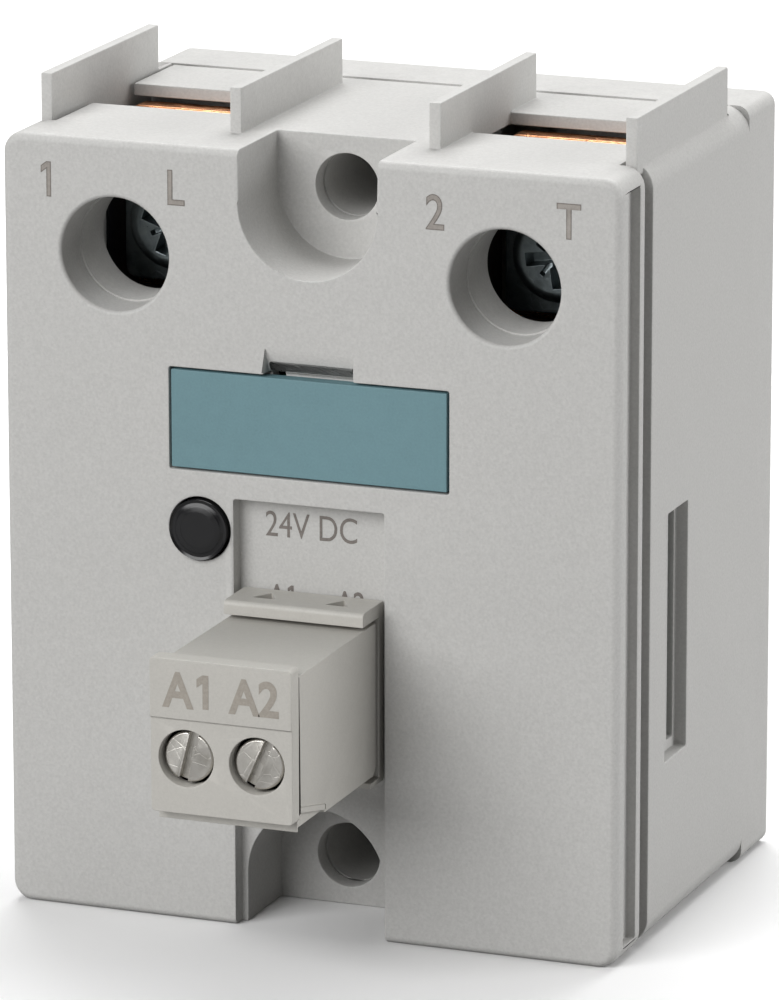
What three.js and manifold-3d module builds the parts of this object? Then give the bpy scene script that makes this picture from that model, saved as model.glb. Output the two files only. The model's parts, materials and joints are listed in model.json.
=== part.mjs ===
// Two-terminal solid state relay with a pluggable control terminal, built as separate pieces.
// Millimetres. X to the right seen from the front, -Y out of the front, +Z up.
// Origin: centre of the heat sink mounting face.

import * as THREE from 'three';
import { mergeVertices } from 'three/addons/utils/BufferGeometryUtils.js';
import Module from 'manifold-3d';

const wasm = await Module();
wasm.setup();

// ---- driving dimensions ------------------------------------------------------------------

// body
const bodyWidth = 45;
const bodyHeight = 54.8;
const bodyDepth = 32.2;
const fit = 0.3; // clearance between pieces that slide in or close on each other
const seat = 0.05; // solder, glue or grease line between pieces that lie on each other
const lap = 0.2; // how far solids of one piece run into each other where they join
const past = 1; // how far a cutting solid runs past the face that it opens

// mounting
const mountPitch = 47.6;
const mountHoleRadius = 2.3;
const pocketRadius = 5.05;
const pocketDepth = 7.3;
const pillarWall = 1.9;

// base housing
const housingWall = 2;
const housingCorner = 1.8;
const housingSetback = 6.1; // from the front face to the housing's front edge
const rimWall = 1.2;
const ledgeWidth = 0.8; // step that the plate's edge lies on
const rearFlangeDepth = 6;
const shoulder = 1.65; // strip of housing beside the cover's top plate
const slotHeight = 17.5;
const slotDepth = 4.5;
const slotSetback = 9.4;
const slotRecess = 0.9;
const slotDrop = 6.5; // slot's middle, below the body's middle
const slitDepth = 1.2;
const slitInset = 0.3; // slit from the slot's rear edge
const slitEnd = 0.7; // slit from the slot's ends

// base plate and power section
const plateThickness = 3;
const plateProud = 0.3;
const substrateThickness = 1;
const substrateHeight = 24;
const substrateGap = 1.2; // from the load bars' lower edge down to the substrate
const trackThickness = 0.35;
const trackMargin = 0.6;
const trackInset = 0.4; // track's side, inside the load bar leg's side
const trackSplit = 1.4;
const chipSize = 7;
const chipThickness = 0.5;
const chipShift = 1.3; // chip's middle from its track's middle
const clipThickness = 0.4;
const clipWidth = 2.4;
const clipInset = 0.4; // strip from the chip's edge and from the track's edge
const clipGrip = 1; // how far the strip reaches over its chip
const clipGap = 0.6; // strip's end to the other chip
const pottingDepth = 1.8;
const pottingMargin = 1; // inside the substrate's edge
const pottingGap = 0.8; // from the load bars' feet
const gatePinRadius = 0.45;
const gatePinOffset = [1.5, 2]; // from the chip's middle, outwards and down or up

// front cover
const coverInset = 0.1; // each side, against the housing
const coverDepth = 4.75;
const coverWall = 1.6;
const coverCorner = 1.4;
const coverEdge = 0.5;
const frontThickness = 1.8;
const topThickness = 0.9;
const pocketWall = 1.2;
const padMargin = 1; // thickened wall past a recess in it
const grooveStart = 1.44;
const grooveWidth = 2.4;
const grooveRecess = 0.7;
const grooveMargin = 1.2;
const tongueThickness = 0.8;
const tongueReach = 10.9;

// insulating fins
const finRise = 3.2;
const finThickness = 0.86;
const finLength = 18.8;
const innerFinX = 7.25;
const fusion = 0.8; // how far a joined detail runs into the wall that carries it

// load terminals
const terminalInset = 8.35; // screw axis from the body's side
const terminalDrop = 7.95; // screw axis from the body's top
const sleeveBore = 3.95;
const sleeveWall = 1.2;
const sleeveDepth = 7;
const wireEntryStart = 11.2;
const wireEntryDepth = 7.3;
const headRadius = 3.6;
const headDepth = 2.5;
const headSetback = 9.8;
const headEdge = 0.7;
const driveSpan = 4.2; // cross recess in the head
const driveWidth = 0.9;
const driveDepth = 1.6;
const shankRadius = 2;
const shankLength = 12.8;
const clampSize = 9.2;
const clampThickness = 1.4;
const barThickness = 1.8;
const barSetback = 16.9;
const barWidth = 11.8;
const barHeight = 15;
const legWidth = 5.5;
const legThickness = 1.5;
const footLength = 5.6;
const nutSize = 7;
const nutThickness = 3;
const shelfThickness = 2;
const shelfMargin = 1; // shelf past the nut
const shelfHoleGap = 0.5; // round the screw's shank
const partitionThickness = 1;
const chamberFloorRise = 1.3; // from the load bar's lower edge up to the wire space's floor

// label plate and status light
const labelWidth = 20.4;
const labelHeight = 7.15;
const labelRecess = 1.2;
const labelGap = 0.15;
const labelSeat = 0.1; // plate's back to the recess's floor
const padThickness = 1.2; // wall behind the label's recess
const labelZ = 8.4;
const pegRadius = 0.8;
const pegSpacing = 13;
const pegGap = 0.2;
const pegReach = 3.2; // pegs' ends, behind the front face
const pryWidth = 6.5;
const pryHeight = 1.9;
const lensOffset = 0.25; // from the recess's side to the lens hole
const lensZ = 0.75;
const lensRadius = 2.1;
const lensGap = 0.15;
const lensProud = 0.45;
const flangeThickness = 0.8;
const flangeLip = 0.8; // lens's flange past its dome
const lensStem = 1.6;
const stemStep = 0.4; // stem inside the dome's radius
const ledRadius = 1.5;
const ledRim = 0.4;
const ledRimDepth = 1;

// recess down the middle of the front, and the socket in it
const channelClearance = 0.4; // from the plug's head to the recess's side
const channelTop = 3.05;
const channelDepth = 1.2;
const floorThickness = 1.4;

// circuit board
const boardSetback = 11.3;
const boardThickness = 1.6;
const boardGap = 0.8; // from the load bars' lower edge down to the board
const boardFoot = 0.8; // from the bottom wall up to the board

// control plug, two poles
const pitch = 5.08;
const plugProud = 15.8;
const plugSideWall = 0.41;
const headPlateLip = 0.1; // head plate past the body, each side
const headPlateThickness = 1.4;
const headPlateHeight = 10.75;
const headPlateZ = -9.2;
const plugBodyHeight = 10.75;
const plugBodyZ = -9.95;
const plugWall = 0.8;
const screwZ = -10.7; // control screws' axis
const plugBore = 1.97;
const plugScrewHead = 1.75;
const plugScrewShank = 1.1;
const slotWidth = 0.9;
const cageWidth = 3.6;
const cageDepth = 6;
const cageHeight = 4.4;
const cageWall = 0.8;
const cageClearance = 0.25;
const tongueInset = 0.4; // tongue's side, inside the body's side
const tongueDepth = 8;
const tongueRise = 6;
const tongueZ = -9.6; // contact pins' axis
const pinSize = 1;
const rearBarDepth = 3.8;
const rearBarRise = 1.3;
const shroudWall = 0.9;
const wellClearance = 1.6; // from the tongue's end to the well's floor
const pinGap = 0.1;
const pinSetback = 2.2; // pins' tips, behind the recess's floor
const pinTail = 1.6; // pins behind the board
const carrierThickness = 0.8;
const carrierStep = 0.25; // carrier's back, in front of the recess's floor
const carrierLip = 0.7;
const lipDepth = 2.4;
const roofExtra = 0.6; // plug's upper wall, thicker than the others
const cageSetback = 3.9;
const cageCheek = 0.6;
const cageNut = 1; // cage's threaded wall
const screwHeadSetback = 0.6;
const screwHeadDepth = 1.4;
const screwEdge = 0.15;
const slotCut = 0.9;
const screwReach = 2.4; // screw's end, behind the cage's front
const threadGap = 0.15;
const faceWall = 2.1; // plug's wall round the screwdriver holes
const wireHoleWidth = 3.2;
const partingDepth = 0.2; // line across the plug's face
const partingWidth = 0.25;
const partingRise = 1.2;
const contactWidth = 1.8;
const contactStrip = 0.8;
const contactLeaf = 0.5;
const contactSetback = 2.6; // strip, behind the cage's front
const contactBend = 2; // bend, in front of the carrier
const contactTip = 0.8; // fork's end, in front of the tongue's end
const leafGap = 0.15;
const contactWell = [2.4, 2.9];
const arrowX = [-2.7, 2.6]; // arrowheads cut in the grip bar's top
const arrowHalf = 0.7;
const arrowRange = [2.3, 0.9]; // arrow's foot and tip, in front of the carrier's back
const arrowDepth = 0.6;

// ---- places worked out from them ---------------------------------------------------------

const halfWidth = bodyWidth / 2;
const halfHeight = bodyHeight / 2;
const coverHalf = halfWidth - coverInset;
const mountZ = mountPitch / 2;
const shoulderX = halfWidth - shoulder;
const terminalX = halfWidth - terminalInset;
const terminalZ = halfHeight - terminalDrop;
const plateInner = -plateThickness;
const ledgeY = plateInner - fit;
const substrateFace = plateInner - seat - substrateThickness;
const trackFace = substrateFace - seat - trackThickness;
const chipFace = trackFace - seat - chipThickness;
const barTop = halfHeight - topThickness - fit;
const barBottom = barTop - barHeight;
const substrateMid = barBottom - substrateGap - substrateHeight / 2;
const boardTop = barBottom - boardGap;
const boardBottom = -halfHeight + housingWall + boardFoot;
// turn: how far each screw is turned, in degrees
const sides = [
  { name: 'line', sign: -1, turn: 20 },
  { name: 'load', sign: 1, turn: -8 },
];
const poles = [
  { name: 'a1', x: -pitch / 2, turn: 14 },
  { name: 'a2', x: pitch / 2, turn: 24 },
];

const cavityWidth = cageWidth + 2 * cageClearance;
const plugBodyWidth = pitch + cavityWidth + 2 * plugSideWall;
const headPlateWidth = plugBodyWidth + 2 * headPlateLip;
const tongueWidth = plugBodyWidth - 2 * tongueInset;
const channelWidth = headPlateWidth + 2 * channelClearance;
const lensX = -(channelWidth / 2 + lensOffset + lensGap + lensRadius);

// y of a point that lies a given depth behind the front face
function front(depth) {
  return depth - bodyDepth;
}

const boardX = halfWidth - housingWall - fit - tongueThickness - fit;
const boardFront = front(boardSetback);
const boardBack = front(boardSetback + boardThickness);

// ---- solids ------------------------------------------------------------------------------

function solid(geometry) {
  const bare = geometry.clone();
  bare.deleteAttribute('normal');
  bare.deleteAttribute('uv');
  const merged = mergeVertices(bare, 1e-5);
  return new wasm.Manifold(new wasm.Mesh({
    numProp: 3,
    vertProperties: new Float32Array(merged.attributes.position.array),
    triVerts: new Uint32Array(merged.index.array),
  }));
}

function geometryOf(body) {
  const mesh = body.getMesh();
  const geometry = new THREE.BufferGeometry();
  geometry.setAttribute('position', new THREE.BufferAttribute(mesh.vertProperties, 3));
  geometry.setIndex(new THREE.BufferAttribute(mesh.triVerts, 1));
  geometry.computeVertexNormals();
  return geometry;
}

function join(...bodies) {
  return bodies.reduce((sum, body) => sum.add(body));
}

function cut(body, ...tools) {
  return tools.reduce((rest, tool) => rest.subtract(tool), body);
}

// block between two values on each axis
function block([x0, x1], [y0, y1], [z0, z1]) {
  const geometry = new THREE.BoxGeometry(x1 - x0, y1 - y0, z1 - z0);
  geometry.translate((x0 + x1) / 2, (y0 + y1) / 2, (z0 + z1) / 2);
  return solid(geometry);
}

// values that lie the same distance either side of a middle
function around(middle, size) {
  return [middle - size / 2, middle + size / 2];
}

// a range on one side of the body's middle plane, given for the load side
function mirrored(sign, [x0, x1]) {
  return sign > 0 ? [x0, x1] : [-x1, -x0];
}

// round bar along Y
function rod(radius, [y0, y1], x, z, segments = 32) {
  const geometry = new THREE.CylinderGeometry(radius, radius, y1 - y0, segments);
  geometry.translate(x, (y0 + y1) / 2, 0);
  geometry.translate(0, 0, z);
  return solid(geometry);
}

// outline in X and Z, pushed back along Y, with an optional bevel round its front edge; the
// bevel at the far end of the extrusion falls behind y1 and is trimmed off
function slab(shape, [y0, y1], bevel = 0) {
  const geometry = new THREE.ExtrudeGeometry(shape, {
    depth: y1 - y0,
    curveSegments: 5,
    bevelEnabled: bevel > 0,
    bevelSegments: 2,
    bevelSize: bevel,
    bevelThickness: bevel,
    bevelOffset: -bevel,
  });
  geometry.rotateX(Math.PI / 2);
  geometry.translate(0, y1 + bevel, 0);
  const body = solid(geometry);
  if (bevel === 0) return body;
  return cut(body, block([-bodyWidth, bodyWidth], [y1, y1 + 3 * bevel], [-bodyHeight, bodyHeight]));
}

// outline in Y and Z, run along X
function profile(points, [x0, x1]) {
  const shape = new THREE.Shape(points.map(([y, z]) => new THREE.Vector2(y, z)));
  const geometry = new THREE.ExtrudeGeometry(shape, { depth: x1 - x0, bevelEnabled: false });
  geometry.rotateX(Math.PI / 2);
  geometry.rotateZ(Math.PI / 2);
  geometry.translate(x0, 0, 0);
  return solid(geometry);
}

function roundedOutline(width, height, corner) {
  const [x0, x1] = around(0, width);
  const [z0, z1] = around(0, height);
  const shape = new THREE.Shape();
  shape.moveTo(x0 + corner, z0);
  shape.lineTo(x1 - corner, z0);
  shape.absarc(x1 - corner, z0 + corner, corner, -Math.PI / 2, 0, false);
  shape.lineTo(x1, z1 - corner);
  shape.absarc(x1 - corner, z1 - corner, corner, 0, Math.PI / 2, false);
  shape.lineTo(x0 + corner, z1);
  shape.absarc(x0 + corner, z1 - corner, corner, Math.PI / 2, Math.PI, false);
  shape.lineTo(x0, z0 + corner);
  shape.absarc(x0 + corner, z0 + corner, corner, Math.PI, 1.5 * Math.PI, false);
  return shape;
}

// ---- the assembly ------------------------------------------------------------------------

const relay = new THREE.Group();
relay.name = 'solid_state_relay';

const finishes = {
  housingPlastic: { color: 0xc9c9c4, roughness: 0.62, metalness: 0 },
  plugPlastic: { color: 0xc8c5be, roughness: 0.58, metalness: 0 },
  labelPlastic: { color: 0x6f9196, roughness: 0.6, metalness: 0 },
  smokedLens: { color: 0x2c2c30, roughness: 0.2, metalness: 0 },
  nickel: { color: 0xc9c6bf, roughness: 0.3, metalness: 1 },
  zincSteel: { color: 0xaab0b2, roughness: 0.35, metalness: 1 },
  copper: { color: 0xb4673a, roughness: 0.35, metalness: 1 },
  tinned: { color: 0xbfc1c0, roughness: 0.35, metalness: 1 },
  ceramic: { color: 0xe9e6dd, roughness: 0.5, metalness: 0 },
  silicon: { color: 0x3a3f4c, roughness: 0.3, metalness: 0.4 },
  boardGreen: { color: 0x2f5f3c, roughness: 0.5, metalness: 0 },
  moulding: { color: 0x1d1d1f, roughness: 0.55, metalness: 0 },
  lacquer: { color: 0x9fb9c9, roughness: 0.5, metalness: 0 },
  dippedFilm: { color: 0xb58a2e, roughness: 0.5, metalness: 0 },
  blueCoat: { color: 0x2f5fa3, roughness: 0.45, metalness: 0 },
  potting: { color: 0x8d8f88, roughness: 0.35, metalness: 0 },
  ledResin: { color: 0xb7cfa0, roughness: 0.25, metalness: 0 },
};

function add(name, body, finish) {
  const material = new THREE.MeshStandardMaterial(finishes[finish]);
  const mesh = new THREE.Mesh(geometryOf(body), material);
  mesh.name = name;
  relay.add(mesh);
}

// both mounting holes, for anything they pass through
function mountHoles(radius, yRange) {
  return [-mountZ, mountZ].map((z) => rod(radius, yRange, 0, z, 40));
}

// ---- base plate and power section --------------------------------------------------------

function basePlate() {
  const width = bodyWidth - 2 * (rimWall + fit);
  const height = bodyHeight - 2 * (rimWall + fit);
  const plate = slab(roundedOutline(width, height, housingCorner), [-plateThickness, 0]);
  return cut(plate, ...mountHoles(mountHoleRadius, [-plateThickness - past, past]));
}

const trackOuter = terminalX + legWidth / 2 - trackInset;
const substrateHalf = trackOuter + trackMargin;
const substrateZ = around(substrateMid, substrateHeight);
const trackZ = [substrateZ[0] + trackMargin, substrateZ[1] - trackMargin];
const chipX = trackOuter / 2 - chipShift;

function substrate() {
  return block([-substrateHalf, substrateHalf], [substrateFace, plateInner - seat], substrateZ);
}

function track(sign) {
  const inner = trackSplit / 2;
  const range = sign < 0 ? [-trackOuter, -inner] : [inner, trackOuter];
  return block(range, [trackFace, substrateFace - seat], trackZ);
}

function chip(sign) {
  const z = around(substrateMid, chipSize);
  return block(around(sign * chipX, chipSize), [chipFace, trackFace - seat], z);
}

// strip from one chip's face across the split to the other track; both are the same strip,
// one turned half round about the middle of the substrate
function bridgeClip(sign) {
  const chipEnd = -chipX - chipSize / 2 + clipGrip;
  const footEnd = chipX - chipSize / 2 - clipGap;
  const footStart = trackSplit / 2 + clipInset;
  const start = clipInset - chipSize / 2;
  const z = [start, start + clipWidth];
  const outer = chipFace - seat - clipThickness;
  const strip = block([chipEnd, footEnd], [outer, chipFace - seat], z);
  const foot = block([footStart, footEnd], [outer, trackFace - seat], z);
  const clip = join(strip, foot).rotate([0, sign < 0 ? 0 : 180, 0]);
  return clip.translate([0, 0, substrateMid]);
}

function gatePinPlace(sign) {
  const [out, along] = gatePinOffset;
  return { x: sign * (chipX + out), z: substrateMid - sign * along };
}

function gatePin(sign) {
  const { x, z } = gatePinPlace(sign);
  return rod(gatePinRadius, [boardFront + fit, chipFace - seat], x, z, 12);
}

function potting() {
  const back = chipFace - seat - clipThickness - fit;
  const half = substrateHalf - pottingMargin;
  const gel = block([-half, half], [back - pottingDepth, back],
    [substrateZ[0] + pottingMargin, barBottom - footLength - pottingGap]);
  const holes = sides.map(({ sign }) => {
    const { x, z } = gatePinPlace(sign);
    return rod(gatePinRadius + fit, [back - pottingDepth - past, back + past], x, z, 12);
  });
  return cut(gel, ...holes);
}

// ---- base housing ------------------------------------------------------------------------

function outerFin(sign) {
  const x = mirrored(sign, [shoulderX, shoulderX + finThickness]);
  const start = coverDepth + fit;
  return block(x, [front(start), front(start + finLength)],
    [halfHeight - fusion, halfHeight + finRise]);
}

function sideSlot(sign) {
  const z = around(-slotDrop, slotHeight);
  const reach = [halfWidth - slotRecess, halfWidth + past];
  const through = [halfWidth - housingWall - past, halfWidth + past];
  const slitStart = slotSetback + slotDepth - slitInset - slitDepth;
  const recess = block(mirrored(sign, reach), [front(slotSetback), front(slotSetback + slotDepth)], z);
  const slit = block(mirrored(sign, through), [front(slitStart), front(slitStart + slitDepth)],
    [z[0] + slitEnd, z[1] - slitEnd]);
  return join(recess, slit);
}

const nutSetback = barSetback + barThickness + fit;
const shelfSetback = nutSetback + nutThickness + fit;

// shelf behind each terminal nut, carried by the side wall
function nutShelf(sign) {
  const range = mirrored(sign, [terminalX - nutSize / 2 - shelfMargin, halfWidth - housingWall + fusion]);
  const z = [terminalZ - nutSize / 2 - shelfMargin, halfHeight - topThickness - 2 * fit];
  const shelf = block(range, [front(shelfSetback), front(shelfSetback + shelfThickness)], z);
  const hole = rod(shankRadius + shelfHoleGap,
    [front(shelfSetback - past), front(shelfSetback + shelfThickness + past)],
    sign * terminalX, terminalZ);
  return cut(shelf, hole);
}

// tube round each mounting hole, tied to the rear flange by a web, clear of the cover's plates
function mountPillar(sign) {
  const start = front(pocketDepth + floorThickness + fit);
  const radius = mountHoleRadius + pillarWall;
  const tube = rod(radius, [start, ledgeY], 0, sign * mountZ, 40);
  const wallSide = halfHeight - fusion;
  const webZ = sign > 0 ? [mountZ, wallSide] : [-wallSide, -mountZ];
  const web = block([-radius, radius], [front(rearEdge()), ledgeY], webZ);
  const limit = halfHeight - topThickness - fit;
  const clearOfCover = block([-halfWidth, halfWidth], [start - past, front(rearEdge())],
    sign > 0 ? [limit, bodyHeight] : [-bodyHeight, -limit]);
  const clearOfWall = block([-halfWidth, halfWidth], [start - past, past],
    sign > 0 ? [wallSide, bodyHeight] : [-bodyHeight, -wallSide]);
  return cut(join(tube, web), clearOfCover, clearOfWall);
}

// depth at which the housing's rear flange starts, behind the cover's top plate
function rearEdge() {
  return bodyDepth - rearFlangeDepth;
}

function baseHousing() {
  const shell = slab(roundedOutline(bodyWidth, bodyHeight, housingCorner),
    [front(housingSetback), -plateProud]);
  const innerX = [-halfWidth + housingWall, halfWidth - housingWall];
  const innerZ = [-halfHeight + housingWall, halfHeight - housingWall];
  const hollow = block(innerX, [front(0), ledgeY], innerZ);
  const throughPlate = block([innerX[0] + ledgeWidth, innerX[1] - ledgeWidth], [ledgeY - past, past],
    [innerZ[0] + ledgeWidth, innerZ[1] - ledgeWidth]);
  const rebate = block([-halfWidth + rimWall, halfWidth - rimWall], [ledgeY, past],
    [-halfHeight + rimWall, halfHeight - rimWall]);
  const openEnds = block([-shoulderX, shoulderX], [front(0), front(rearEdge())],
    [-halfHeight - past, halfHeight + past]);
  const pieces = [cut(shell, hollow, throughPlate, rebate, openEnds)];
  for (const { sign } of sides) {
    pieces.push(outerFin(sign), nutShelf(sign), mountPillar(sign));
  }
  const whole = join(...pieces);
  return cut(whole, ...mountHoles(mountHoleRadius, [front(0), past]),
    ...sides.map(({ sign }) => sideSlot(sign)));
}

// ---- front cover -------------------------------------------------------------------------

function pocket(sign, radius, depth) {
  const y = [front(-past), front(depth)];
  const edge = sign * (halfHeight + past);
  const z = sign > 0 ? [mountZ, edge] : [edge, -mountZ];
  return join(rod(radius, y, 0, sign * mountZ, 48), block([-radius, radius], y, z));
}

function innerFin(sign) {
  const start = coverDepth + fit;
  return block(around(sign * innerFinX, finThickness), [front(start), front(start + finLength)],
    [halfHeight - topThickness, halfHeight + finRise]);
}

function sideGroove(sign) {
  const x = mirrored(sign, [coverHalf - grooveRecess, coverHalf + past]);
  return block(x, [front(grooveStart), front(grooveStart + grooveWidth)],
    [-halfHeight + grooveMargin, halfHeight - grooveMargin]);
}

// black tray round each load terminal's wire space: a wall towards the middle, a floor, and an
// outer wall that starts behind the cover's tongue
function wireChamber(sign) {
  const inner = innerFinX - finThickness / 2;
  const outer = halfWidth - housingWall - fit;
  const outerFace = outer - tongueThickness;
  const bottom = barBottom + chamberFloorRise;
  const z = [bottom, halfHeight - topThickness - fit];
  const floorZ = [bottom, bottom + partitionThickness];
  const start = front(labelRecess + padThickness + fit);
  const back = front(barSetback - fit);
  const tail = [front(tongueReach + fit), back];
  return join(
    block(mirrored(sign, [inner, inner + partitionThickness]), [start, back], z),
    block(mirrored(sign, [inner, outerFace - fit]), [start, back], floorZ),
    block(mirrored(sign, [inner, outer]), tail, floorZ),
    block(mirrored(sign, [outerFace, outer]), tail, z),
  );
}

function sleeve(sign) {
  return rod(sleeveBore + sleeveWall, [front(frontThickness - lap), front(sleeveDepth)],
    sign * terminalX, terminalZ, 40);
}

// tongue that guides the cover inside the housing's side wall and closes the gap between them
function coverTongue(sign) {
  const outer = halfWidth - housingWall - fit;
  const x = mirrored(sign, [outer - tongueThickness, outer]);
  return block(x, [front(frontThickness - lap), front(tongueReach)],
    around(0, bodyHeight - topThickness));
}

const socketZ = around(tongueZ, tongueRise + 2 * fit);
const socketX = around(0, tongueWidth + 2 * fit);

function coverCuts() {
  const label = [around(0, labelWidth), around(labelZ, labelHeight)];
  const pryTop = labelZ + labelHeight / 2 + pryHeight;
  const pryFoot = labelZ + labelHeight / 2 - labelGap;
  const cuts = [
    block(label[0], [front(-past), front(labelRecess)], label[1]),
    profile([[front(-past), pryTop], [front(0), pryTop],
      [front(labelRecess), pryFoot], [front(-past), pryFoot]], around(0, pryWidth)),
    rod(lensRadius + lensGap, [front(-past), front(frontThickness + past)], lensX, lensZ),
    block(around(0, channelWidth), [front(-past), front(channelDepth)],
      [-halfHeight - past, channelTop]),
    block(socketX, [front(-past), front(pocketDepth)], socketZ),
  ];
  const pegHole = [front(0), front(labelRecess + padThickness + past)];
  for (const side of [-1, 1]) {
    cuts.push(rod(pegRadius + pegGap, pegHole, side * pegSpacing / 2, labelZ, 16));
  }
  for (const { sign } of sides) {
    cuts.push(pocket(sign, pocketRadius, pocketDepth), sideGroove(sign));
    cuts.push(rod(sleeveBore, [front(-past), front(sleeveDepth + past)],
      sign * terminalX, terminalZ, 40));
    cuts.push(block(mirrored(sign, [innerFinX + finThickness / 2, shoulderX + past]),
      [front(wireEntryStart), front(wireEntryStart + wireEntryDepth)],
      [halfHeight - topThickness - past, halfHeight + past]));
  }
  return cuts;
}

function frontCover() {
  const outline = roundedOutline(2 * coverHalf, bodyHeight, coverCorner);
  const shell = slab(outline, [front(0), front(coverDepth)], coverEdge);
  const inner = halfHeight - topThickness;
  const behindFace = front(frontThickness - lap);
  const hollow = block(around(0, 2 * (coverHalf - coverWall)),
    [front(frontThickness), front(coverDepth + past)], [-inner, inner]);
  const plateX = around(0, 2 * (shoulderX - fit));
  const plateY = [behindFace, front(rearEdge() - fit)];
  const labelPad = [labelZ - labelHeight / 2 - padMargin, labelZ + labelHeight / 2 + pryHeight + fit];
  const pieces = [cut(shell, hollow),
    block(plateX, plateY, [inner, halfHeight]),
    block(plateX, plateY, [-halfHeight, -inner]),
    block(around(0, labelWidth + 2 * padMargin), [behindFace, front(labelRecess + padThickness)],
      labelPad),
    block(around(0, channelWidth + 2 * padMargin), [behindFace, front(channelDepth + floorThickness)],
      [-inner - lap, channelTop + padMargin])];
  for (const { sign } of sides) {
    const thick = pocket(sign, pocketRadius + pocketWall, pocketDepth + floorThickness);
    const kept = block(around(0, bodyWidth), [behindFace, front(bodyDepth)],
      around(0, bodyHeight - lap));
    pieces.push(thick.intersect(kept));
    pieces.push(innerFin(sign), sleeve(sign), coverTongue(sign));
  }
  const holeEnd = front(pocketDepth + floorThickness + past);
  return cut(join(...pieces), ...coverCuts(), ...mountHoles(mountHoleRadius, [front(0), holeEnd]));
}

function labelPlate() {
  const plate = block(around(0, labelWidth - 2 * labelGap), [front(0), front(labelRecess - labelSeat)],
    around(labelZ, labelHeight - 2 * labelGap));
  const pegY = [front(labelRecess - labelSeat - lap), front(pegReach)];
  const pegs = [-1, 1].map((side) => rod(pegRadius, pegY, side * pegSpacing / 2, labelZ, 16));
  return join(plate, ...pegs);
}

const flangeSetback = channelDepth + floorThickness + fit;

// low dome in the hole, a flange behind the cover, and a stem towards the light
function statusLens() {
  const steps = 5;
  const stemRadius = lensRadius - stemStep;
  const stemStart = -flangeSetback - flangeThickness;
  const points = [];
  for (let step = 0; step <= steps; step += 1) {
    const angle = (step / steps) * (Math.PI / 2);
    points.push([lensRadius * Math.sin(angle), lensProud * Math.cos(angle)]);
  }
  points.push([lensRadius, -flangeSetback]);
  points.push([lensRadius + flangeLip, -flangeSetback]);
  points.push([lensRadius + flangeLip, stemStart]);
  points.push([stemRadius, stemStart]);
  points.push([stemRadius, stemStart - lensStem]);
  points.push([0, stemStart - lensStem]);
  const outline = points.reverse().map(([radius, height]) => new THREE.Vector2(radius, height));
  const geometry = new THREE.LatheGeometry(outline, 28);
  geometry.rotateX(Math.PI);
  geometry.translate(lensX, front(0), lensZ);
  return solid(geometry);
}

// ---- load terminals ----------------------------------------------------------------------

// bar behind the wire space, with a leg back to its track and a foot on it
function loadBar(sign) {
  const bar = block(around(sign * terminalX, barWidth),
    [front(barSetback), front(barSetback + barThickness)], [barBottom, barTop]);
  const footFace = trackFace - seat - legThickness;
  const leg = block(around(sign * terminalX, legWidth), [front(barSetback), footFace + legThickness],
    [barBottom, barBottom + legThickness]);
  const foot = block(around(sign * terminalX, legWidth), [footFace, footFace + legThickness],
    [barBottom - footLength, barBottom + legThickness]);
  const hole = rod(shankRadius + fit,
    [front(barSetback - past), front(barSetback + barThickness + past)],
    sign * terminalX, terminalZ);
  return cut(join(bar, leg, foot), hole);
}

function terminalNut(sign) {
  const x = sign * terminalX;
  const nut = block(around(x, nutSize), [front(nutSetback), front(nutSetback + nutThickness)],
    around(terminalZ, nutSize));
  return cut(nut, rod(shankRadius + fit,
    [front(nutSetback - past), front(nutSetback + nutThickness + past)], x, terminalZ));
}

const clampSetback = headSetback + headDepth + fit;

function clampPlate(sign) {
  const x = sign * terminalX;
  const plate = block(around(x, clampSize), [front(clampSetback),
    front(clampSetback + clampThickness)], around(terminalZ, clampSize));
  return cut(plate, rod(shankRadius + fit,
    [front(clampSetback - past), front(clampSetback + clampThickness + past)], x, terminalZ));
}

// pan head with a cross recess, the cross turned by an angle in degrees
function terminalScrew(sign, turn) {
  const headBack = headSetback + headDepth;
  const head = slab(circle(headRadius), [front(headSetback), front(headBack)], headEdge);
  const shank = rod(shankRadius, [front(headBack - lap), front(headBack + shankLength)], 0, 0, 24);
  const depth = [front(headSetback - past), front(headSetback + driveDepth)];
  const cross = [block(around(0, driveSpan), depth, around(0, driveWidth)),
    block(around(0, driveWidth), depth, around(0, driveSpan))];
  const screw = cut(join(head, shank), ...cross).rotate([0, turn, 0]);
  return screw.translate([sign * terminalX, 0, terminalZ]);
}

function circle(radius) {
  const shape = new THREE.Shape();
  shape.absarc(0, 0, radius, 0, 2 * Math.PI, false);
  return new THREE.Shape(shape.getPoints(14).slice(1));
}

// ---- circuit board and what is on it -----------------------------------------------------

function circuitBoard() {
  const board = block([-boardX, boardX], [boardFront, boardBack], [boardBottom, boardTop]);
  const y = [boardFront - past, boardBack + past];
  const notchRadius = mountHoleRadius + pillarWall + fit;
  const notch = join(rod(notchRadius, y, 0, -mountZ, 40),
    block([-notchRadius, notchRadius], y, [-halfHeight, -mountZ]));
  const holes = sides.map(({ sign }) => {
    const { x, z } = gatePinPlace(sign);
    return rod(gatePinRadius + fit, y, x, z, 12);
  });
  for (const { x } of poles) {
    holes.push(block(around(x, pinSize + 2 * fit), y, around(tongueZ, pinSize + 2 * fit)));
  }
  return cut(board, notch, ...holes);
}

// box-shaped component standing off the back of the board
function boxPart([x, z], [width, height, depth]) {
  return block(around(x, width), [boardBack + seat, boardBack + seat + depth], around(z, height));
}

// disc standing on its edge, facing the side
function disc([x, z], [radius, thickness]) {
  const geometry = new THREE.CylinderGeometry(radius, radius, thickness, 24);
  geometry.rotateZ(Math.PI / 2);
  geometry.translate(x, boardBack + seat + radius, z);
  return solid(geometry);
}

// barrel lying on the board, along Z
function barrel([x, z], [radius, length]) {
  const geometry = new THREE.CylinderGeometry(radius, radius, length, 16);
  geometry.rotateX(Math.PI / 2);
  geometry.translate(x, boardBack + seat + radius, z);
  return solid(geometry);
}

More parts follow.
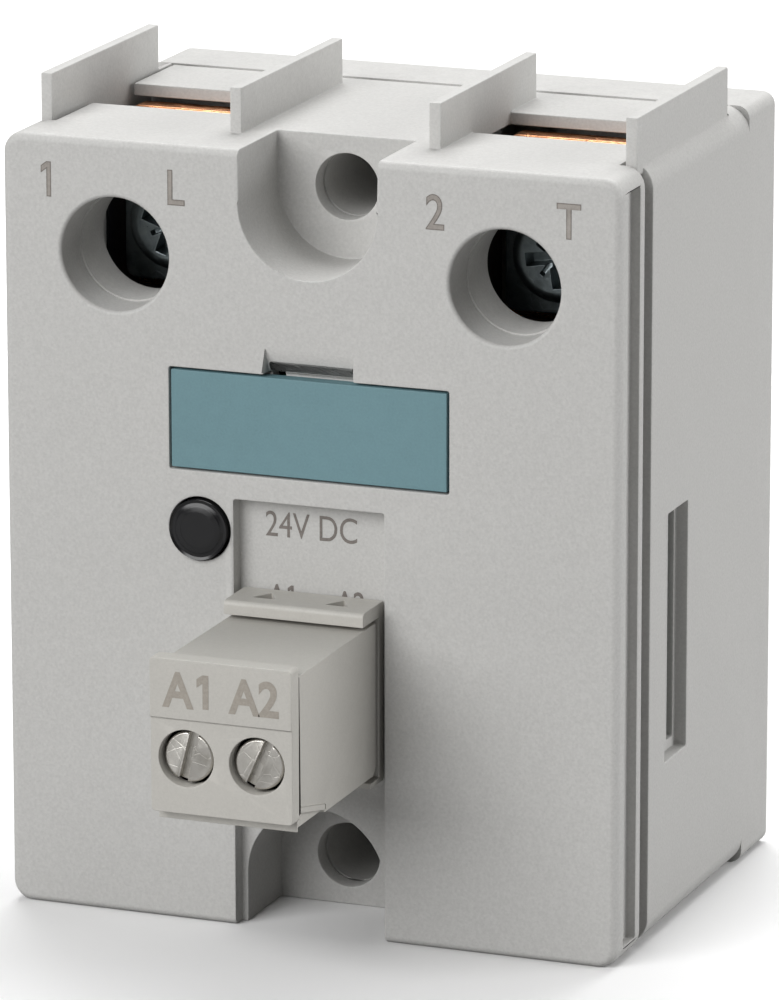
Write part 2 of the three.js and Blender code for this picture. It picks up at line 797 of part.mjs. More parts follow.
// place in X and Z on the board's back, then the sizes that each kind takes
const boardParts = [
  { name: 'optocoupler', make: boxPart, at: [0, 4], size: [8.6, 6.4, 3.4], finish: 'moulding' },
  { name: 'input_rectifier', make: boxPart, at: [12.5, -16], size: [6.2, 6.2, 2.6], finish: 'moulding' },
  { name: 'current_regulator', make: boxPart, at: [-12.5, -16], size: [4.6, 3.8, 3.6], finish: 'moulding' },
  { name: 'snubber_capacitor', make: boxPart, at: [0, -14.5], size: [10.5, 5.2, 8.5], finish: 'dippedFilm' },
  { name: 'varistor', make: disc, at: [15.2, 3], size: [4.6, 3.4], finish: 'blueCoat' },
  { name: 'input_resistor', make: barrel, at: [-15.5, -5], size: [1.2, 6.4], finish: 'lacquer' },
  { name: 'gate_resistor', make: barrel, at: [-15.5, 4.5], size: [1.2, 6.4], finish: 'lacquer' },
  { name: 'snubber_resistor', make: barrel, at: [15.2, -8], size: [1.6, 7], finish: 'lacquer' },
];

function statusLed() {
  const y = [front(flangeSetback + flangeThickness + lensStem + fit), boardFront - seat];
  return join(rod(ledRadius, y, lensX, lensZ, 20),
    rod(ledRadius + ledRim, [y[1] - ledRimDepth, y[1]], lensX, lensZ, 20));
}

// ---- socket and control plug -------------------------------------------------------------

function headerShroud() {
  const x = around(0, tongueWidth + 2 * fit + 2 * shroudWall);
  const z = around(tongueZ, tongueRise + 2 * fit + 2 * shroudWall);
  const start = front(channelDepth + floorThickness + seat);
  const outer = block(x, [start, boardFront - seat], z);
  const well = block(socketX, [start - past, front(tongueDepth + wellClearance)], socketZ);
  const pinHoles = poles.map((pole) => block(around(pole.x, pinSize + 2 * pinGap),
    [start, boardFront + past], around(tongueZ, pinSize + 2 * pinGap)));
  return cut(outer, well, ...pinHoles);
}

function headerPin(x) {
  return block(around(x, pinSize), [front(channelDepth + pinSetback), boardBack + pinTail],
    around(tongueZ, pinSize));
}

const carrierBack = front(channelDepth - carrierStep);
const carrierFront = carrierBack - carrierThickness;
const bodyBack = carrierFront - fit;
const plugBodyRange = around(plugBodyZ, plugBodyHeight);
const cavityZ = [plugBodyRange[0] + plugWall, plugBodyRange[1] - plugWall - roofExtra];
const plugFace = front(-plugProud);
const headPlateBack = plugFace + headPlateThickness;
const cageFront = plugFace + cageSetback;
const screwHeadFront = plugFace + screwHeadSetback;
const screwHeadY = [screwHeadFront, screwHeadFront + screwHeadDepth];

function plugHousing() {
  const headPlate = block(around(0, headPlateWidth), [plugFace, headPlateBack],
    around(headPlateZ, headPlateHeight));
  const body = block(around(0, plugBodyWidth), [headPlateBack - lap, bodyBack], plugBodyRange);
  const parting = block(around(0, headPlateWidth + past), [plugFace - past, plugFace + partingDepth],
    around(headPlateZ + partingRise, partingWidth));
  const cuts = [parting];
  for (const { x } of poles) {
    cuts.push(block(around(x, cavityWidth), [plugFace + faceWall, bodyBack + past], cavityZ));
    cuts.push(rod(plugBore, [plugFace - past, plugFace + faceWall + lap], x, screwZ, 32));
    cuts.push(block(around(x, wireHoleWidth), [cageFront + cageNut, cageFront + cageDepth - cageWall],
      [plugBodyRange[0] - past, cavityZ[0] + lap]));
  }
  return cut(join(headPlate, body), ...cuts);
}

function plugScrew(x, turn) {
  const head = slab(circle(plugScrewHead), screwHeadY, screwEdge);
  const shank = rod(plugScrewShank, [screwHeadY[1] - lap, cageFront + screwReach], 0, 0, 20);
  const groove = block(around(0, slotWidth), [screwHeadFront - past, screwHeadFront + slotCut],
    around(0, 2 * plugScrewHead + past));
  return cut(join(head, shank), groove).rotate([0, turn, 0]).translate([x, 0, screwZ]);
}

function plugCage(x) {
  const z = around(screwZ, cageHeight);
  const outer = block(around(x, cageWidth), [cageFront, cageFront + cageDepth], z);
  const window = block(around(x, cageWidth - 2 * cageCheek),
    [cageFront + cageNut, cageFront + cageDepth - cageWall], [z[0] - past, z[1] + past]);
  const thread = rod(plugScrewShank + threadGap, [cageFront - past, cageFront + cageNut + lap],
    x, screwZ, 20);
  return cut(outer, window, thread);
}

// strip that the cage clamps the wire against, led back to a fork round the header pin
function plugContact(x) {
  const barFront = cageFront + contactSetback;
  const barBack = barFront + contactStrip;
  const barEnd = screwZ - cageHeight / 2 + lap;
  const top = cavityZ[1] - fit;
  const bend = carrierFront - contactBend;
  const bendBack = bend + contactStrip;
  const gap = pinSize / 2 + leafGap;
  const tip = front(tongueDepth - contactTip);
  const outline = [
    [barFront, barEnd],
    [barBack, barEnd],
    [barBack, top - contactStrip],
    [bend, top - contactStrip],
    [bend, tongueZ - gap - contactLeaf],
    [tip, tongueZ - gap - contactLeaf],
    [tip, tongueZ - gap],
    [bendBack, tongueZ - gap],
    [bendBack, tongueZ + gap],
    [tip, tongueZ + gap],
    [tip, tongueZ + gap + contactLeaf],
    [bendBack, tongueZ + gap + contactLeaf],
    [bendBack, top],
    [barFront, top],
  ];
  return profile(outline, around(x, contactWidth));
}

// rear part of the plug: closing plate with a raised grip bar, and the tongue round the contacts
function plugCarrier() {
  const top = plugBodyRange[1];
  const foot = plugBodyRange[0] - carrierLip;
  const plate = block(around(0, headPlateWidth), [carrierFront, carrierBack],
    [foot, top + rearBarRise]);
  const bar = block(around(0, headPlateWidth), [carrierBack - rearBarDepth, carrierBack],
    [top + fit, top + rearBarRise]);
  const lip = block(around(0, headPlateWidth), [carrierBack - lipDepth, carrierBack],
    [foot, plugBodyRange[0] - fit]);
  const tongue = block(around(0, tongueWidth), [carrierBack - lap, front(tongueDepth)],
    around(tongueZ, tongueRise));
  const [wellWidth, wellHeight] = contactWell;
  const cuts = poles.map(({ x }) => block(around(x, wellWidth),
    [carrierFront - past, front(tongueDepth + past)], around(tongueZ, wellHeight)));
  const [arrowFoot, arrowTip] = arrowRange.map((distance) => carrierBack - distance);
  for (const x of arrowX) {
    const outline = [[x - arrowHalf, arrowFoot], [x + arrowHalf, arrowFoot], [x, arrowTip]];
    const arrow = new THREE.Shape(outline.map(([px, py]) => new THREE.Vector2(px, py)));
    const wedge = new THREE.ExtrudeGeometry(arrow, { depth: arrowDepth + lap, bevelEnabled: false });
    wedge.translate(0, 0, top + rearBarRise - arrowDepth);
    cuts.push(solid(wedge));
  }
  return cut(join(plate, bar, lip, tongue), ...cuts);
}

// ---- every node --------------------------------------------------------------------------

add('base_plate', basePlate(), 'nickel');
add('base_housing', baseHousing(), 'housingPlastic');
add('front_cover', frontCover(), 'housingPlastic');
add('label_plate', labelPlate(), 'labelPlastic');
add('status_lens', statusLens(), 'smokedLens');
add('status_led', statusLed(), 'ledResin');
add('ceramic_substrate', substrate(), 'ceramic');
add('potting_layer', potting(), 'potting');
add('circuit_board', circuitBoard(), 'boardGreen');
add('header_shroud', headerShroud(), 'moulding');

for (const { name, sign, turn } of sides) {
  add(`copper_track_${name}`, track(sign), 'copper');
  add(`thyristor_chip_${name}`, chip(sign), 'silicon');
  add(`bridge_clip_${name}`, bridgeClip(sign), 'copper');
  add(`gate_pin_${name}`, gatePin(sign), 'tinned');
  add(`load_bar_${name}`, loadBar(sign), 'copper');
  add(`wire_chamber_${name}`, wireChamber(sign), 'moulding');
  add(`terminal_nut_${name}`, terminalNut(sign), 'zincSteel');
  add(`clamp_plate_${name}`, clampPlate(sign), 'zincSteel');
  add(`terminal_screw_${name}`, terminalScrew(sign, turn), 'zincSteel');
}

for (const { name, x, turn } of poles) {
  add(`header_pin_${name}`, headerPin(x), 'tinned');
  add(`plug_screw_${name}`, plugScrew(x, turn), 'nickel');
  add(`plug_cage_${name}`, plugCage(x), 'nickel');
  add(`plug_contact_${name}`, plugContact(x), 'tinned');
}

add('plug_housing', plugHousing(), 'plugPlastic');
add('plug_carrier', plugCarrier(), 'plugPlastic');
for (const { name, make, at, size, finish } of boardParts) {
  add(name, make(at, size), finish);
}

export default relay;
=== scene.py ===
import json
import math

import bpy
from mathutils import Matrix, Vector


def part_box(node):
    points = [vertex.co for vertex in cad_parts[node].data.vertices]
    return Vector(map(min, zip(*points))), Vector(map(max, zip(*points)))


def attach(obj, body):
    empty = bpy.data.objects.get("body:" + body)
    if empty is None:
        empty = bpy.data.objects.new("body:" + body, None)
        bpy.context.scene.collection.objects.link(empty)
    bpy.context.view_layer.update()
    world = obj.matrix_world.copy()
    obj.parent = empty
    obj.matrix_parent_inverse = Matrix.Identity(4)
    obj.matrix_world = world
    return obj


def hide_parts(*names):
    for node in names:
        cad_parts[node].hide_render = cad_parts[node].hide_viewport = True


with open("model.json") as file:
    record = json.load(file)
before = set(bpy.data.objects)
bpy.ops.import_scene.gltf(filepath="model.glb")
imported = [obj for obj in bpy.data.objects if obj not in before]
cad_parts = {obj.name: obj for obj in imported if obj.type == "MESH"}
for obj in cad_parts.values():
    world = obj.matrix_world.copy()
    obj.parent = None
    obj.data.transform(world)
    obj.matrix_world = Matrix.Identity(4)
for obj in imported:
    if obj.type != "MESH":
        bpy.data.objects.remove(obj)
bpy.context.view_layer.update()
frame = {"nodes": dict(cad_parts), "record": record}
nodes = frame["nodes"]
mm = 0.001
edgeAngle = math.radians(32)        # a sharper edge gets a small radius
shadeAngle = math.radians(35)
print("frame loaded,", len(nodes), "nodes")


def span(node):
    # lowest and highest corner of a CAD node, in millimetres
    low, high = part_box(node)
    return low / mm, high / mm


housingLow, housingHigh = span("base_housing")
coverLow, coverHigh = span("front_cover")
plateLow, plateHigh = span("base_plate")

body = {
    "halfWidth": housingHigh.x,
    "halfHeight": -housingLow.z,
    "face": coverLow.y,
    "finTop": coverHigh.z,
    "mountZ": 23.8,
    "mountHole": 2.3,
    "shoulder": 1.65,       # strip of housing beside the cover's top plate
    "gap": 0.3,
}
shoulderX = body["halfWidth"] - body["shoulder"]
sideNames = {"line": -1, "load": 1}
poleNames = ("a1", "a2")


def centreOf(node):
    # middle of a CAD node across and upwards
    low, high = span(node)
    return (low.x + high.x) / 2, (low.z + high.z) / 2


def behind(depth):
    # y of a point that lies this far behind the front face
    return body["face"] + depth


def around(middle, size):
    return (middle - size / 2, middle + size / 2)


def mirrored(side, pair):
    return pair if side > 0 else (-pair[1], -pair[0])


# modelling helpers, all in millimetres

def pick(obj):
    bpy.ops.object.select_all(action="DESELECT")
    obj.select_set(True)
    bpy.context.view_layer.objects.active = obj


def settle(obj, name=None):
    # the place, turn and size go into the mesh
    pick(obj)
    bpy.ops.object.transform_apply(location=True, rotation=True, scale=True)
    if name:
        obj.name = name
        obj.data.name = name
    return obj


def newBlock(name, x, y, z):
    # block between two values on each axis
    middle = [(a + b) / 2 * mm for a, b in (x, y, z)]
    size = [(b - a) * mm for a, b in (x, y, z)]
    bpy.ops.mesh.primitive_cube_add(size=1, location=middle, scale=size)
    return settle(bpy.context.active_object, name)


def newRod(name, radius, y, x, z, sides=64):
    # round bar that runs front to back
    place = (x * mm, (y[0] + y[1]) / 2 * mm, z * mm)
    bpy.ops.mesh.primitive_cylinder_add(
        vertices=sides, radius=radius * mm, depth=(y[1] - y[0]) * mm,
        location=place, rotation=(math.pi / 2, 0, 0))
    return settle(bpy.context.active_object, name)


def editing(obj, mode):
    pick(obj)
    bpy.ops.object.mode_set(mode="EDIT")
    bpy.ops.mesh.select_mode(type=mode)


def leave():
    bpy.ops.object.mode_set(mode="OBJECT")


def editAll(obj, mode):
    # stays in edit mode with everything selected
    editing(obj, mode)
    bpy.ops.mesh.select_all(action="SELECT")


def editNone(obj, mode):
    editing(obj, mode)
    bpy.ops.mesh.select_all(action="DESELECT")


def chooseEdges(obj, test):
    # stays in edit mode with the edges whose two ends pass the test
    editNone(obj, "EDGE")
    leave()
    points = obj.data.vertices
    for edge in obj.data.edges:
        a, b = (points[i].co / mm for i in edge.vertices)
        edge.select = bool(test(a, b))
    bpy.ops.object.mode_set(mode="EDIT")


def chooseFaces(obj, test):
    # stays in edit mode with the faces whose middle and normal pass the test
    editNone(obj, "FACE")
    leave()
    for face in obj.data.polygons:
        face.select = bool(test(face.center / mm, face.normal))
    bpy.ops.object.mode_set(mode="EDIT")


def frontToBack(a, b):
    return abs(a.y - b.y) > 1


def roundEdges(obj, width, segments, test):
    chooseEdges(obj, test)
    bpy.ops.mesh.bevel(offset=width * mm, segments=segments, affect="EDGES", clamp_overlap=True)
    leave()


def pushFaces(obj, distance, test, inset=0):
    # insets the chosen faces, then moves what is left of them by distance along -Y
    chooseFaces(obj, test)
    if inset:
        bpy.ops.mesh.inset(thickness=inset * mm, use_even_offset=True)
    bpy.ops.transform.translate(value=(0, -distance * mm, 0))
    leave()


def withTool(obj, tool, operation):
    pick(obj)
    step = obj.modifiers.new("step", "BOOLEAN")
    step.operation = operation
    step.solver = "EXACT"
    step.object = tool
    bpy.ops.object.modifier_apply(modifier=step.name)
    bpy.data.objects.remove(tool)
    return obj


def carve(obj, *tools):
    for tool in tools:
        withTool(obj, tool, "DIFFERENCE")
    return obj


def weld(obj, *parts):
    for part in parts:
        withTool(obj, part, "UNION")
    return obj


def tidyFaces(obj):
    # takes out doubled points and the lines that joined flush faces leave
    editAll(obj, "VERT")
    bpy.ops.mesh.remove_doubles(threshold=0.002 * mm)
    bpy.ops.mesh.dissolve_limited(angle_limit=math.radians(0.4))
    leave()


def softenAll(obj, width, segments=2, skip=None):
    # small radius on the edges that are left sharp, and even shading on the flats
    tidyFaces(obj)
    editNone(obj, "EDGE")
    bpy.ops.mesh.edges_select_sharp(sharpness=edgeAngle)
    leave()
    points = obj.data.vertices
    for edge in obj.data.edges:
        a, b = (points[i].co / mm for i in edge.vertices)
        if edge.select and skip and skip(a, b):
            edge.select = False
    bpy.ops.object.mode_set(mode="EDIT")
    bpy.ops.mesh.bevel(offset=width * mm, segments=segments, affect="EDGES", clamp_overlap=False,
                       miter_outer="ARC")
    leave()
    bpy.ops.object.shade_smooth_by_angle(angle=shadeAngle)
    step = obj.modifiers.new("even shading", "WEIGHTED_NORMAL")
    step.keep_sharp = True
    bpy.ops.object.modifier_apply(modifier=step.name)
    return obj


def copyOf(obj, name, offset=(0, 0, 0)):
    # each copy has its own mesh
    pick(obj)
    bpy.ops.object.duplicate()
    new = bpy.context.active_object
    new.location = Vector(offset) * mm
    return settle(new, name)


def seatedCopy(screw, name, node, degrees):
    # copy of a screw at its node's place, turned about its axis
    x, z = centreOf(node)
    obj = copyOf(screw, name, (x, 0, z))
    editAll(obj, "VERT")
    bpy.ops.transform.rotate(value=-math.radians(degrees), orient_axis="Y",
                             center_override=(x * mm, 0, z * mm))
    leave()
    return obj


def place(obj, bodyName, slotName, *replaced):
    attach(obj, bodyName)
    if replaced:
        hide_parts(*replaced)
    return obj


# shader helpers

def addNode(tree, kind, **values):
    node = tree.nodes.new(kind)
    for name, value in values.items():
        if hasattr(node, name):
            setattr(node, name, value)
        else:
            node.inputs[name].default_value = value
    return node


def newGroup(name, inputs, outputs):
    # shader node group with named sockets
    tree = bpy.data.node_groups.new(name, "ShaderNodeTree")
    for label, kind, value in inputs:
        socket = tree.interface.new_socket(label, in_out="INPUT", socket_type="NodeSocket" + kind)
        socket.default_value = value
    for label, kind in outputs:
        tree.interface.new_socket(label, in_out="OUTPUT", socket_type="NodeSocket" + kind)
    return tree, tree.nodes.new("NodeGroupInput"), tree.nodes.new("NodeGroupOutput")


def mathStep(tree, operation, first, second, clamp=False):
    node = addNode(tree, "ShaderNodeMath", operation=operation, use_clamp=clamp)
    for socket, value in zip(node.inputs, (first, second)):
        if isinstance(value, (int, float)):
            socket.default_value = value
        else:
            tree.links.new(value, socket)
    return node.outputs[0]


def times(tree, first, second, clamp=False):
    return mathStep(tree, "MULTIPLY", first, second, clamp)


def mixColour(tree, factor, first, second, blend="MIX"):
    node = addNode(tree, "ShaderNodeMix", data_type="RGBA", blend_type=blend)
    sockets = (node.inputs[0], node.inputs[6], node.inputs[7])
    for socket, value in zip(sockets, (factor, first, second)):
        if isinstance(value, (int, float, tuple)):
            socket.default_value = value
        else:
            tree.links.new(value, socket)
    return node.outputs[2]


def centred(tree, value, factor):
    # a value round zero, from noise round a half
    return times(tree, mathStep(tree, "SUBTRACT", value, 0.5), factor)


def noiseAt(tree, vector, scale, detail=2.0, roughness=0.5):
    node = addNode(tree, "ShaderNodeTexNoise", Scale=scale, Detail=detail, Roughness=roughness)
    tree.links.new(vector, node.inputs["Vector"])
    return node.outputs["Fac"]


def spread(tree, value, low, high, newLow=0.0, newHigh=1.0):
    node = addNode(tree, "ShaderNodeMapRange")
    tree.links.new(value, node.inputs[0])
    for socket, number in zip(list(node.inputs)[1:5], (low, high, newLow, newHigh)):
        socket.default_value = number
    return node.outputs[0]


def makeGrainGroup():
    # spark-eroded mould surface: fine speckle, slow clouding, and the height for a bump
    tree, given, result = newGroup(
        "mouldGrain",
        [("Colour", "Color", (0.6, 0.6, 0.6, 1)), ("Speckle", "Float", 0.05),
         ("Clouding", "Float", 0.04), ("Scale", "Float", 1.0), ("Roughness", "Float", 0.6)],
        [("Colour", "Color"), ("Roughness", "Float"), ("Height", "Float")])
    link = tree.links.new
    where = addNode(tree, "ShaderNodeTexCoord").outputs["Object"]
    scaled = addNode(tree, "ShaderNodeVectorMath", operation="SCALE")
    link(where, scaled.inputs[0])
    link(given.outputs["Scale"], scaled.inputs["Scale"])
    fine = noiseAt(tree, scaled.outputs[0], 5200, 3, 0.6)
    medium = noiseAt(tree, scaled.outputs[0], 1700, 2, 0.5)
    clouds = noiseAt(tree, scaled.outputs[0], 90, 3, 0.5)
    speckle = times(tree, centred(tree, fine, given.outputs["Speckle"]), 4.0)
    cloud = times(tree, centred(tree, clouds, given.outputs["Clouding"]), 2.0)
    value = mathStep(tree, "ADD", mathStep(tree, "ADD", speckle, cloud), 1.0)
    tint = addNode(tree, "ShaderNodeHueSaturation")
    link(given.outputs["Colour"], tint.inputs["Color"])
    link(value, tint.inputs["Value"])
    link(tint.outputs[0], result.inputs["Colour"])
    rough = mathStep(tree, "ADD", given.outputs["Roughness"], centred(tree, medium, 0.25), True)
    link(rough, result.inputs["Roughness"])
    height = mathStep(tree, "ADD", times(tree, fine, 0.6), times(tree, medium, 0.4))
    link(height, result.inputs["Height"])
    return tree


def makeLightAndShadeGroup():
    # painted highlight on outer edges, broken up by noise, and painted shade in the hollows
    tree, given, result = newGroup(
        "edgeHighlightAndHollowShade",
        [("Amount", "Float", 0.5), ("Breakup", "Float", 900.0)],
        [("Edges", "Float"), ("HollowShade", "Float")])
    bend = addNode(tree, "ShaderNodeNewGeometry").outputs["Pointiness"]
    where = addNode(tree, "ShaderNodeTexCoord").outputs["Object"]
    noise = addNode(tree, "ShaderNodeTexNoise", Detail=3.0)
    tree.links.new(where, noise.inputs["Vector"])
    tree.links.new(given.outputs["Breakup"], noise.inputs["Scale"])
    broken = spread(tree, noise.outputs["Fac"], 0.35, 0.65)
    # painted highlight: a mask of convex edges, where light catches
    edges = times(tree, spread(tree, bend, 0.53, 0.62), broken)
    # painted shade: a mask of concave creases, where shade falls
    hollowShade = spread(tree, bend, 0.47, 0.38)
    for label, mask in (("Edges", edges), ("HollowShade", hollowShade)):
        kept = times(tree, mask, given.outputs["Amount"], True)
        tree.links.new(kept, result.inputs[label])
    return tree


def makeScratchGroup():
    # turning or drawing marks along one direction, and scattered fine scratches
    tree, given, result = newGroup(
        "metalMarks",
        [("Stretch", "Vector", (1.0, 1.0, 1.0)), ("Scale", "Float", 3000.0),
         ("Roughness", "Float", 0.3), ("Depth", "Float", 0.15)],
        [("Roughness", "Float"), ("Height", "Float"), ("Tarnish", "Float")])
    link = tree.links.new
    where = addNode(tree, "ShaderNodeTexCoord").outputs["Object"]
    drawn = addNode(tree, "ShaderNodeVectorMath", operation="MULTIPLY")
    link(where, drawn.inputs[0])
    link(given.outputs["Stretch"], drawn.inputs[1])
    marks = addNode(tree, "ShaderNodeTexNoise", Detail=4.0, Roughness=0.65)
    link(drawn.outputs[0], marks.inputs["Vector"])
    link(given.outputs["Scale"], marks.inputs["Scale"])
    cells = addNode(tree, "ShaderNodeTexVoronoi", feature="DISTANCE_TO_EDGE", Scale=900.0)
    link(drawn.outputs[0], cells.inputs["Vector"])
    scratches = spread(tree, cells.outputs[0], 0.0, 0.035, 1.0, 0.0)
    patches = noiseAt(tree, where, 700, 4, 0.6)
    rough = centred(tree, marks.outputs["Fac"], given.outputs["Depth"])
    rough = mathStep(tree, "ADD", rough, times(tree, scratches, 0.12))
    rough = mathStep(tree, "ADD", given.outputs["Roughness"], rough, True)
    link(rough, result.inputs["Roughness"])
    height = mathStep(tree, "SUBTRACT", marks.outputs["Fac"],
                      times(tree, scratches, 0.5))
    link(height, result.inputs["Height"])
    link(spread(tree, patches, 0.45, 0.75), result.inputs["Tarnish"])
    return tree


grainGroup = makeGrainGroup()
lightAndShadeGroup = makeLightAndShadeGroup()
scratchGroup = makeScratchGroup()
print("shader groups built")


def newMaterial(name, roughness, metallic=0.0, specular=0.5, coat=0.0):
    material = bpy.data.materials.new(name)
    material.use_nodes = True
    tree = material.node_tree
    shader = tree.nodes["Principled BSDF"]
    shader.inputs["Roughness"].default_value = roughness
    shader.inputs["Metallic"].default_value = metallic
    shader.inputs["Specular IOR Level"].default_value = specular
    shader.inputs["Coat Weight"].default_value = coat
    return material, tree, shader


def useGroup(tree, group, **values):
    node = tree.nodes.new("ShaderNodeGroup")
    node.node_tree = group
    for name, value in values.items():
        node.inputs[name].default_value = value
    return node


def bumpInto(tree, shader, height, strength, distance):
    bump = addNode(tree, "ShaderNodeBump", Strength=strength, Distance=distance * mm)
    tree.links.new(height, bump.inputs["Height"])
    tree.links.new(bump.outputs[0], shader.inputs["Normal"])


def mouldedPlastic(name, colour, roughness, speckle, clouding, bump, scale=1.0, paintedLightAmount=0.5,
                   coat=0.0):
    material, tree, shader = newMaterial(name, roughness, coat=coat)
    grain = useGroup(tree, grainGroup, Colour=(*colour, 1), Speckle=speckle, Clouding=clouding,
                     Scale=scale, Roughness=roughness)
    paintedLight = useGroup(tree, lightAndShadeGroup, Amount=paintedLightAmount)
    # the colour times 1.22 is a painted highlight on edges, and the colour times 0.72 is painted
    # shade in hollows
    pale = tuple(min(1.0, c * 1.22) for c in colour) + (1,)
    hollowShadeColour = tuple(c * 0.72 for c in colour) + (1,)
    tinted = mixColour(tree, paintedLight.outputs["Edges"], grain.outputs["Colour"], pale)
    tinted = mixColour(tree, paintedLight.outputs["HollowShade"], tinted, hollowShadeColour)
    tree.links.new(tinted, shader.inputs["Base Color"])
    tree.links.new(grain.outputs["Roughness"], shader.inputs["Roughness"])
    bumpInto(tree, shader, grain.outputs["Height"], bump, 0.05)
    return material


def workedMetal(name, colour, tarnish, roughness, stretch, scale, depth, bump, paintedLightAmount=0.6):
    material, tree, shader = newMaterial(name, roughness, metallic=1.0)
    marks = useGroup(tree, scratchGroup, Stretch=stretch, Scale=scale, Roughness=roughness,
                     Depth=depth)
    paintedLight = useGroup(tree, lightAndShadeGroup, Amount=paintedLightAmount)
    tinted = mixColour(tree, marks.outputs["Tarnish"], (*colour, 1), (*tarnish, 1))
    # the paler colour on edges is a painted highlight
    pale = tuple(min(1.0, c * 1.3 + 0.05) for c in colour) + (1,)
    tinted = mixColour(tree, paintedLight.outputs["Edges"], tinted, pale)
    tree.links.new(tinted, shader.inputs["Base Color"])
    tree.links.new(marks.outputs["Roughness"], shader.inputs["Roughness"])
    bumpInto(tree, shader, marks.outputs["Height"], bump, 0.03)
    return material


# name, colour, roughness, speckle, clouding, bump, then scale, strength of the painted edge
# highlight and hollow shade, and coat
plastics = {
    "housing_plastic": ("lightGreyMoulding", (0.52, 0.515, 0.50), 0.56, 0.09, 0.018, 0.34),
    "plug_plastic": ("warmGreyMoulding", (0.50, 0.485, 0.45), 0.5, 0.05, 0.02, 0.2, 1.3),
    "label_plastic": ("blueGreenInsert", (0.140, 0.255, 0.285), 0.6, 0.07, 0.05, 0.2, 1.2, 0.3),
    "smoked_lens": ("smokedLens", (0.008, 0.008, 0.009), 0.2, 0.05, 0.3, 0.04, 0.4, 0.1, 0.0),
    "ceramic": ("whiteAlumina", (0.80, 0.78, 0.72), 0.45, 0.06, 0.04, 0.2),
    "silicon": ("chipSilicon", (0.08, 0.09, 0.12), 0.22, 0.05, 0.2, 0.05, 1.0, 0.1, 0.4),
    "potting": ("siliconeGel", (0.36, 0.37, 0.34), 0.3, 0.02, 0.2, 0.1, 0.3, 0.1, 0.3),
    "board": ("solderMask", (0.03, 0.14, 0.06), 0.35, 0.12, 0.25, 0.3, 0.5, 0.3, 0.3),
    "black_moulding": ("blackMoulding", (0.014, 0.015, 0.017), 0.5, 0.1, 0.1, 0.3),
    "capacitor_film": ("dippedFilm", (0.50, 0.32, 0.07), 0.35, 0.05, 0.2, 0.1, 0.5, 0.2, 0.3),
    "varistor_coat": ("blueEpoxy", (0.04, 0.12, 0.38), 0.3, 0.05, 0.2, 0.1, 0.5, 0.2, 0.4),
    "resistor_coat": ("paleBlueLacquer", (0.34, 0.5, 0.6), 0.35, 0.05, 0.2, 0.1, 0.5, 0.2, 0.3),
    "led_resin": ("diffusedResin", (0.45, 0.6, 0.3), 0.3, 0.02, 0.1, 0.05, 0.5, 0.1, 0.4),
    "print": ("printInk", (0.185, 0.165, 0.15), 0.7, 0.2, 0.1, 0.3),
    "printPale": ("printInkPale", (0.30, 0.275, 0.25), 0.7, 0.15, 0.1, 0.3),
    "plugPrint": ("plugPrintInk", (0.34, 0.31, 0.27), 0.7, 0.12, 0.1, 0.2),
}
# name, colour, tarnish, roughness, stretch, scale, depth of the marks, bump
metals = {
    "plated_metal": ("nickelPlate", (0.60, 0.58, 0.54), (0.42, 0.40, 0.36),
                     0.34, (1, 0.3, 1), 2600, 0.3, 0.5),
    "zinc_steel": ("zincSteel", (0.25, 0.29, 0.30), (0.13, 0.15, 0.16),
                   0.34, (1, 0.5, 1), 1800, 0.3, 0.4),
    "copper": ("punchedCopper", (0.80, 0.38, 0.19), (0.36, 0.14, 0.06),
               0.27, (0.25, 1, 1), 2400, 0.3, 0.6),
    "tinned_wire": ("tinnedContact", (0.72, 0.72, 0.70), (0.5, 0.5, 0.49),
                    0.32, (1, 0.3, 1), 2200, 0.25, 0.2),
}
finishes = {slot: mouldedPlastic(*row) for slot, row in plastics.items()}
finishes.update({slot: workedMetal(*row) for slot, row in metals.items()})


def dress(obj, *finishNames):
    obj.data.materials.clear()
    for name in finishNames:
        obj.data.materials.append(finishes[name])
    return obj


def finishPart(obj, finish, bodyName, *replaced):
    dress(obj, finish)
    return place(obj, bodyName, finish, *replaced)


# front cover

coverShape = {
    "inset": 0.1, "depth": 4.75, "wall": 1.6, "corner": 1.4, "edge": 0.55, "front": 1.8,
    "plate": 0.9, "plateDepth": 25.65,
    "finX": 7.25, "fin": 0.86, "finStart": 5.05, "finLength": 18.8,
    "sharpRadius": 0.13, "insideDepth": 1.7,
    "grooveStart": 1.44, "grooveWidth": 2.4, "grooveRecess": 0.7, "grooveEnd": 1.2,
    "tongueX": (19.4, 20.2), "tongueDepth": 10.9,
}
pocketShape = {"radius": 5.05, "depth": 7.3, "floor": 1.4, "wall": 1.2, "mouth": 0.45}
terminalShape = {"bore": 3.95, "sleeve": 1.2, "depth": 7.0, "mouth": 0.3,
                 "step": 0.12, "stepDepth": 3.2}
entryShape = {"start": 11.2, "length": 7.3}
labelShape = {"width": 20.4, "height": 7.15, "z": 8.4, "recess": 1.2, "gap": 0.15,
              "pegSpacing": 13, "pegRadius": 0.8, "pegEnd": 3.2, "pryWidth": 6.5, "pryHeight": 1.9,
              "backGap": 0.1, "sharpRadius": 0.09}
channelShape = {"width": 11.0, "top": 3.05, "depth": 1.2, "floor": 1.4}
socketShape = {"width": 9.8, "z": (-12.9, -6.3), "depth": 7.3}
lensX, lensZ = centreOf("status_lens")
lensShape = {
    "x": lensX, "z": lensZ, "back": span("status_lens")[1].y,
    "radius": 2.1, "gap": 0.15, "rim": 0.22, "rimDrop": 0.06, "dome": 0.5, "steps": 7,
    "flange": (2.9, 3.7), "flangeWidth": 0.8, "pipeInset": 0.4, "sharpRadius": 0.08,
}


def pocketTool(name, end, radius, depth):
    # round-ended pocket that runs out through the top or bottom
    y = (behind(-1), behind(depth))
    tool = newRod(name, radius, y, 0, end * body["mountZ"], 96)
    slotZ = mirrored(end, (body["mountZ"], body["halfHeight"] + 1))
    return weld(tool, newBlock("slot", (-radius, radius), y, slotZ))


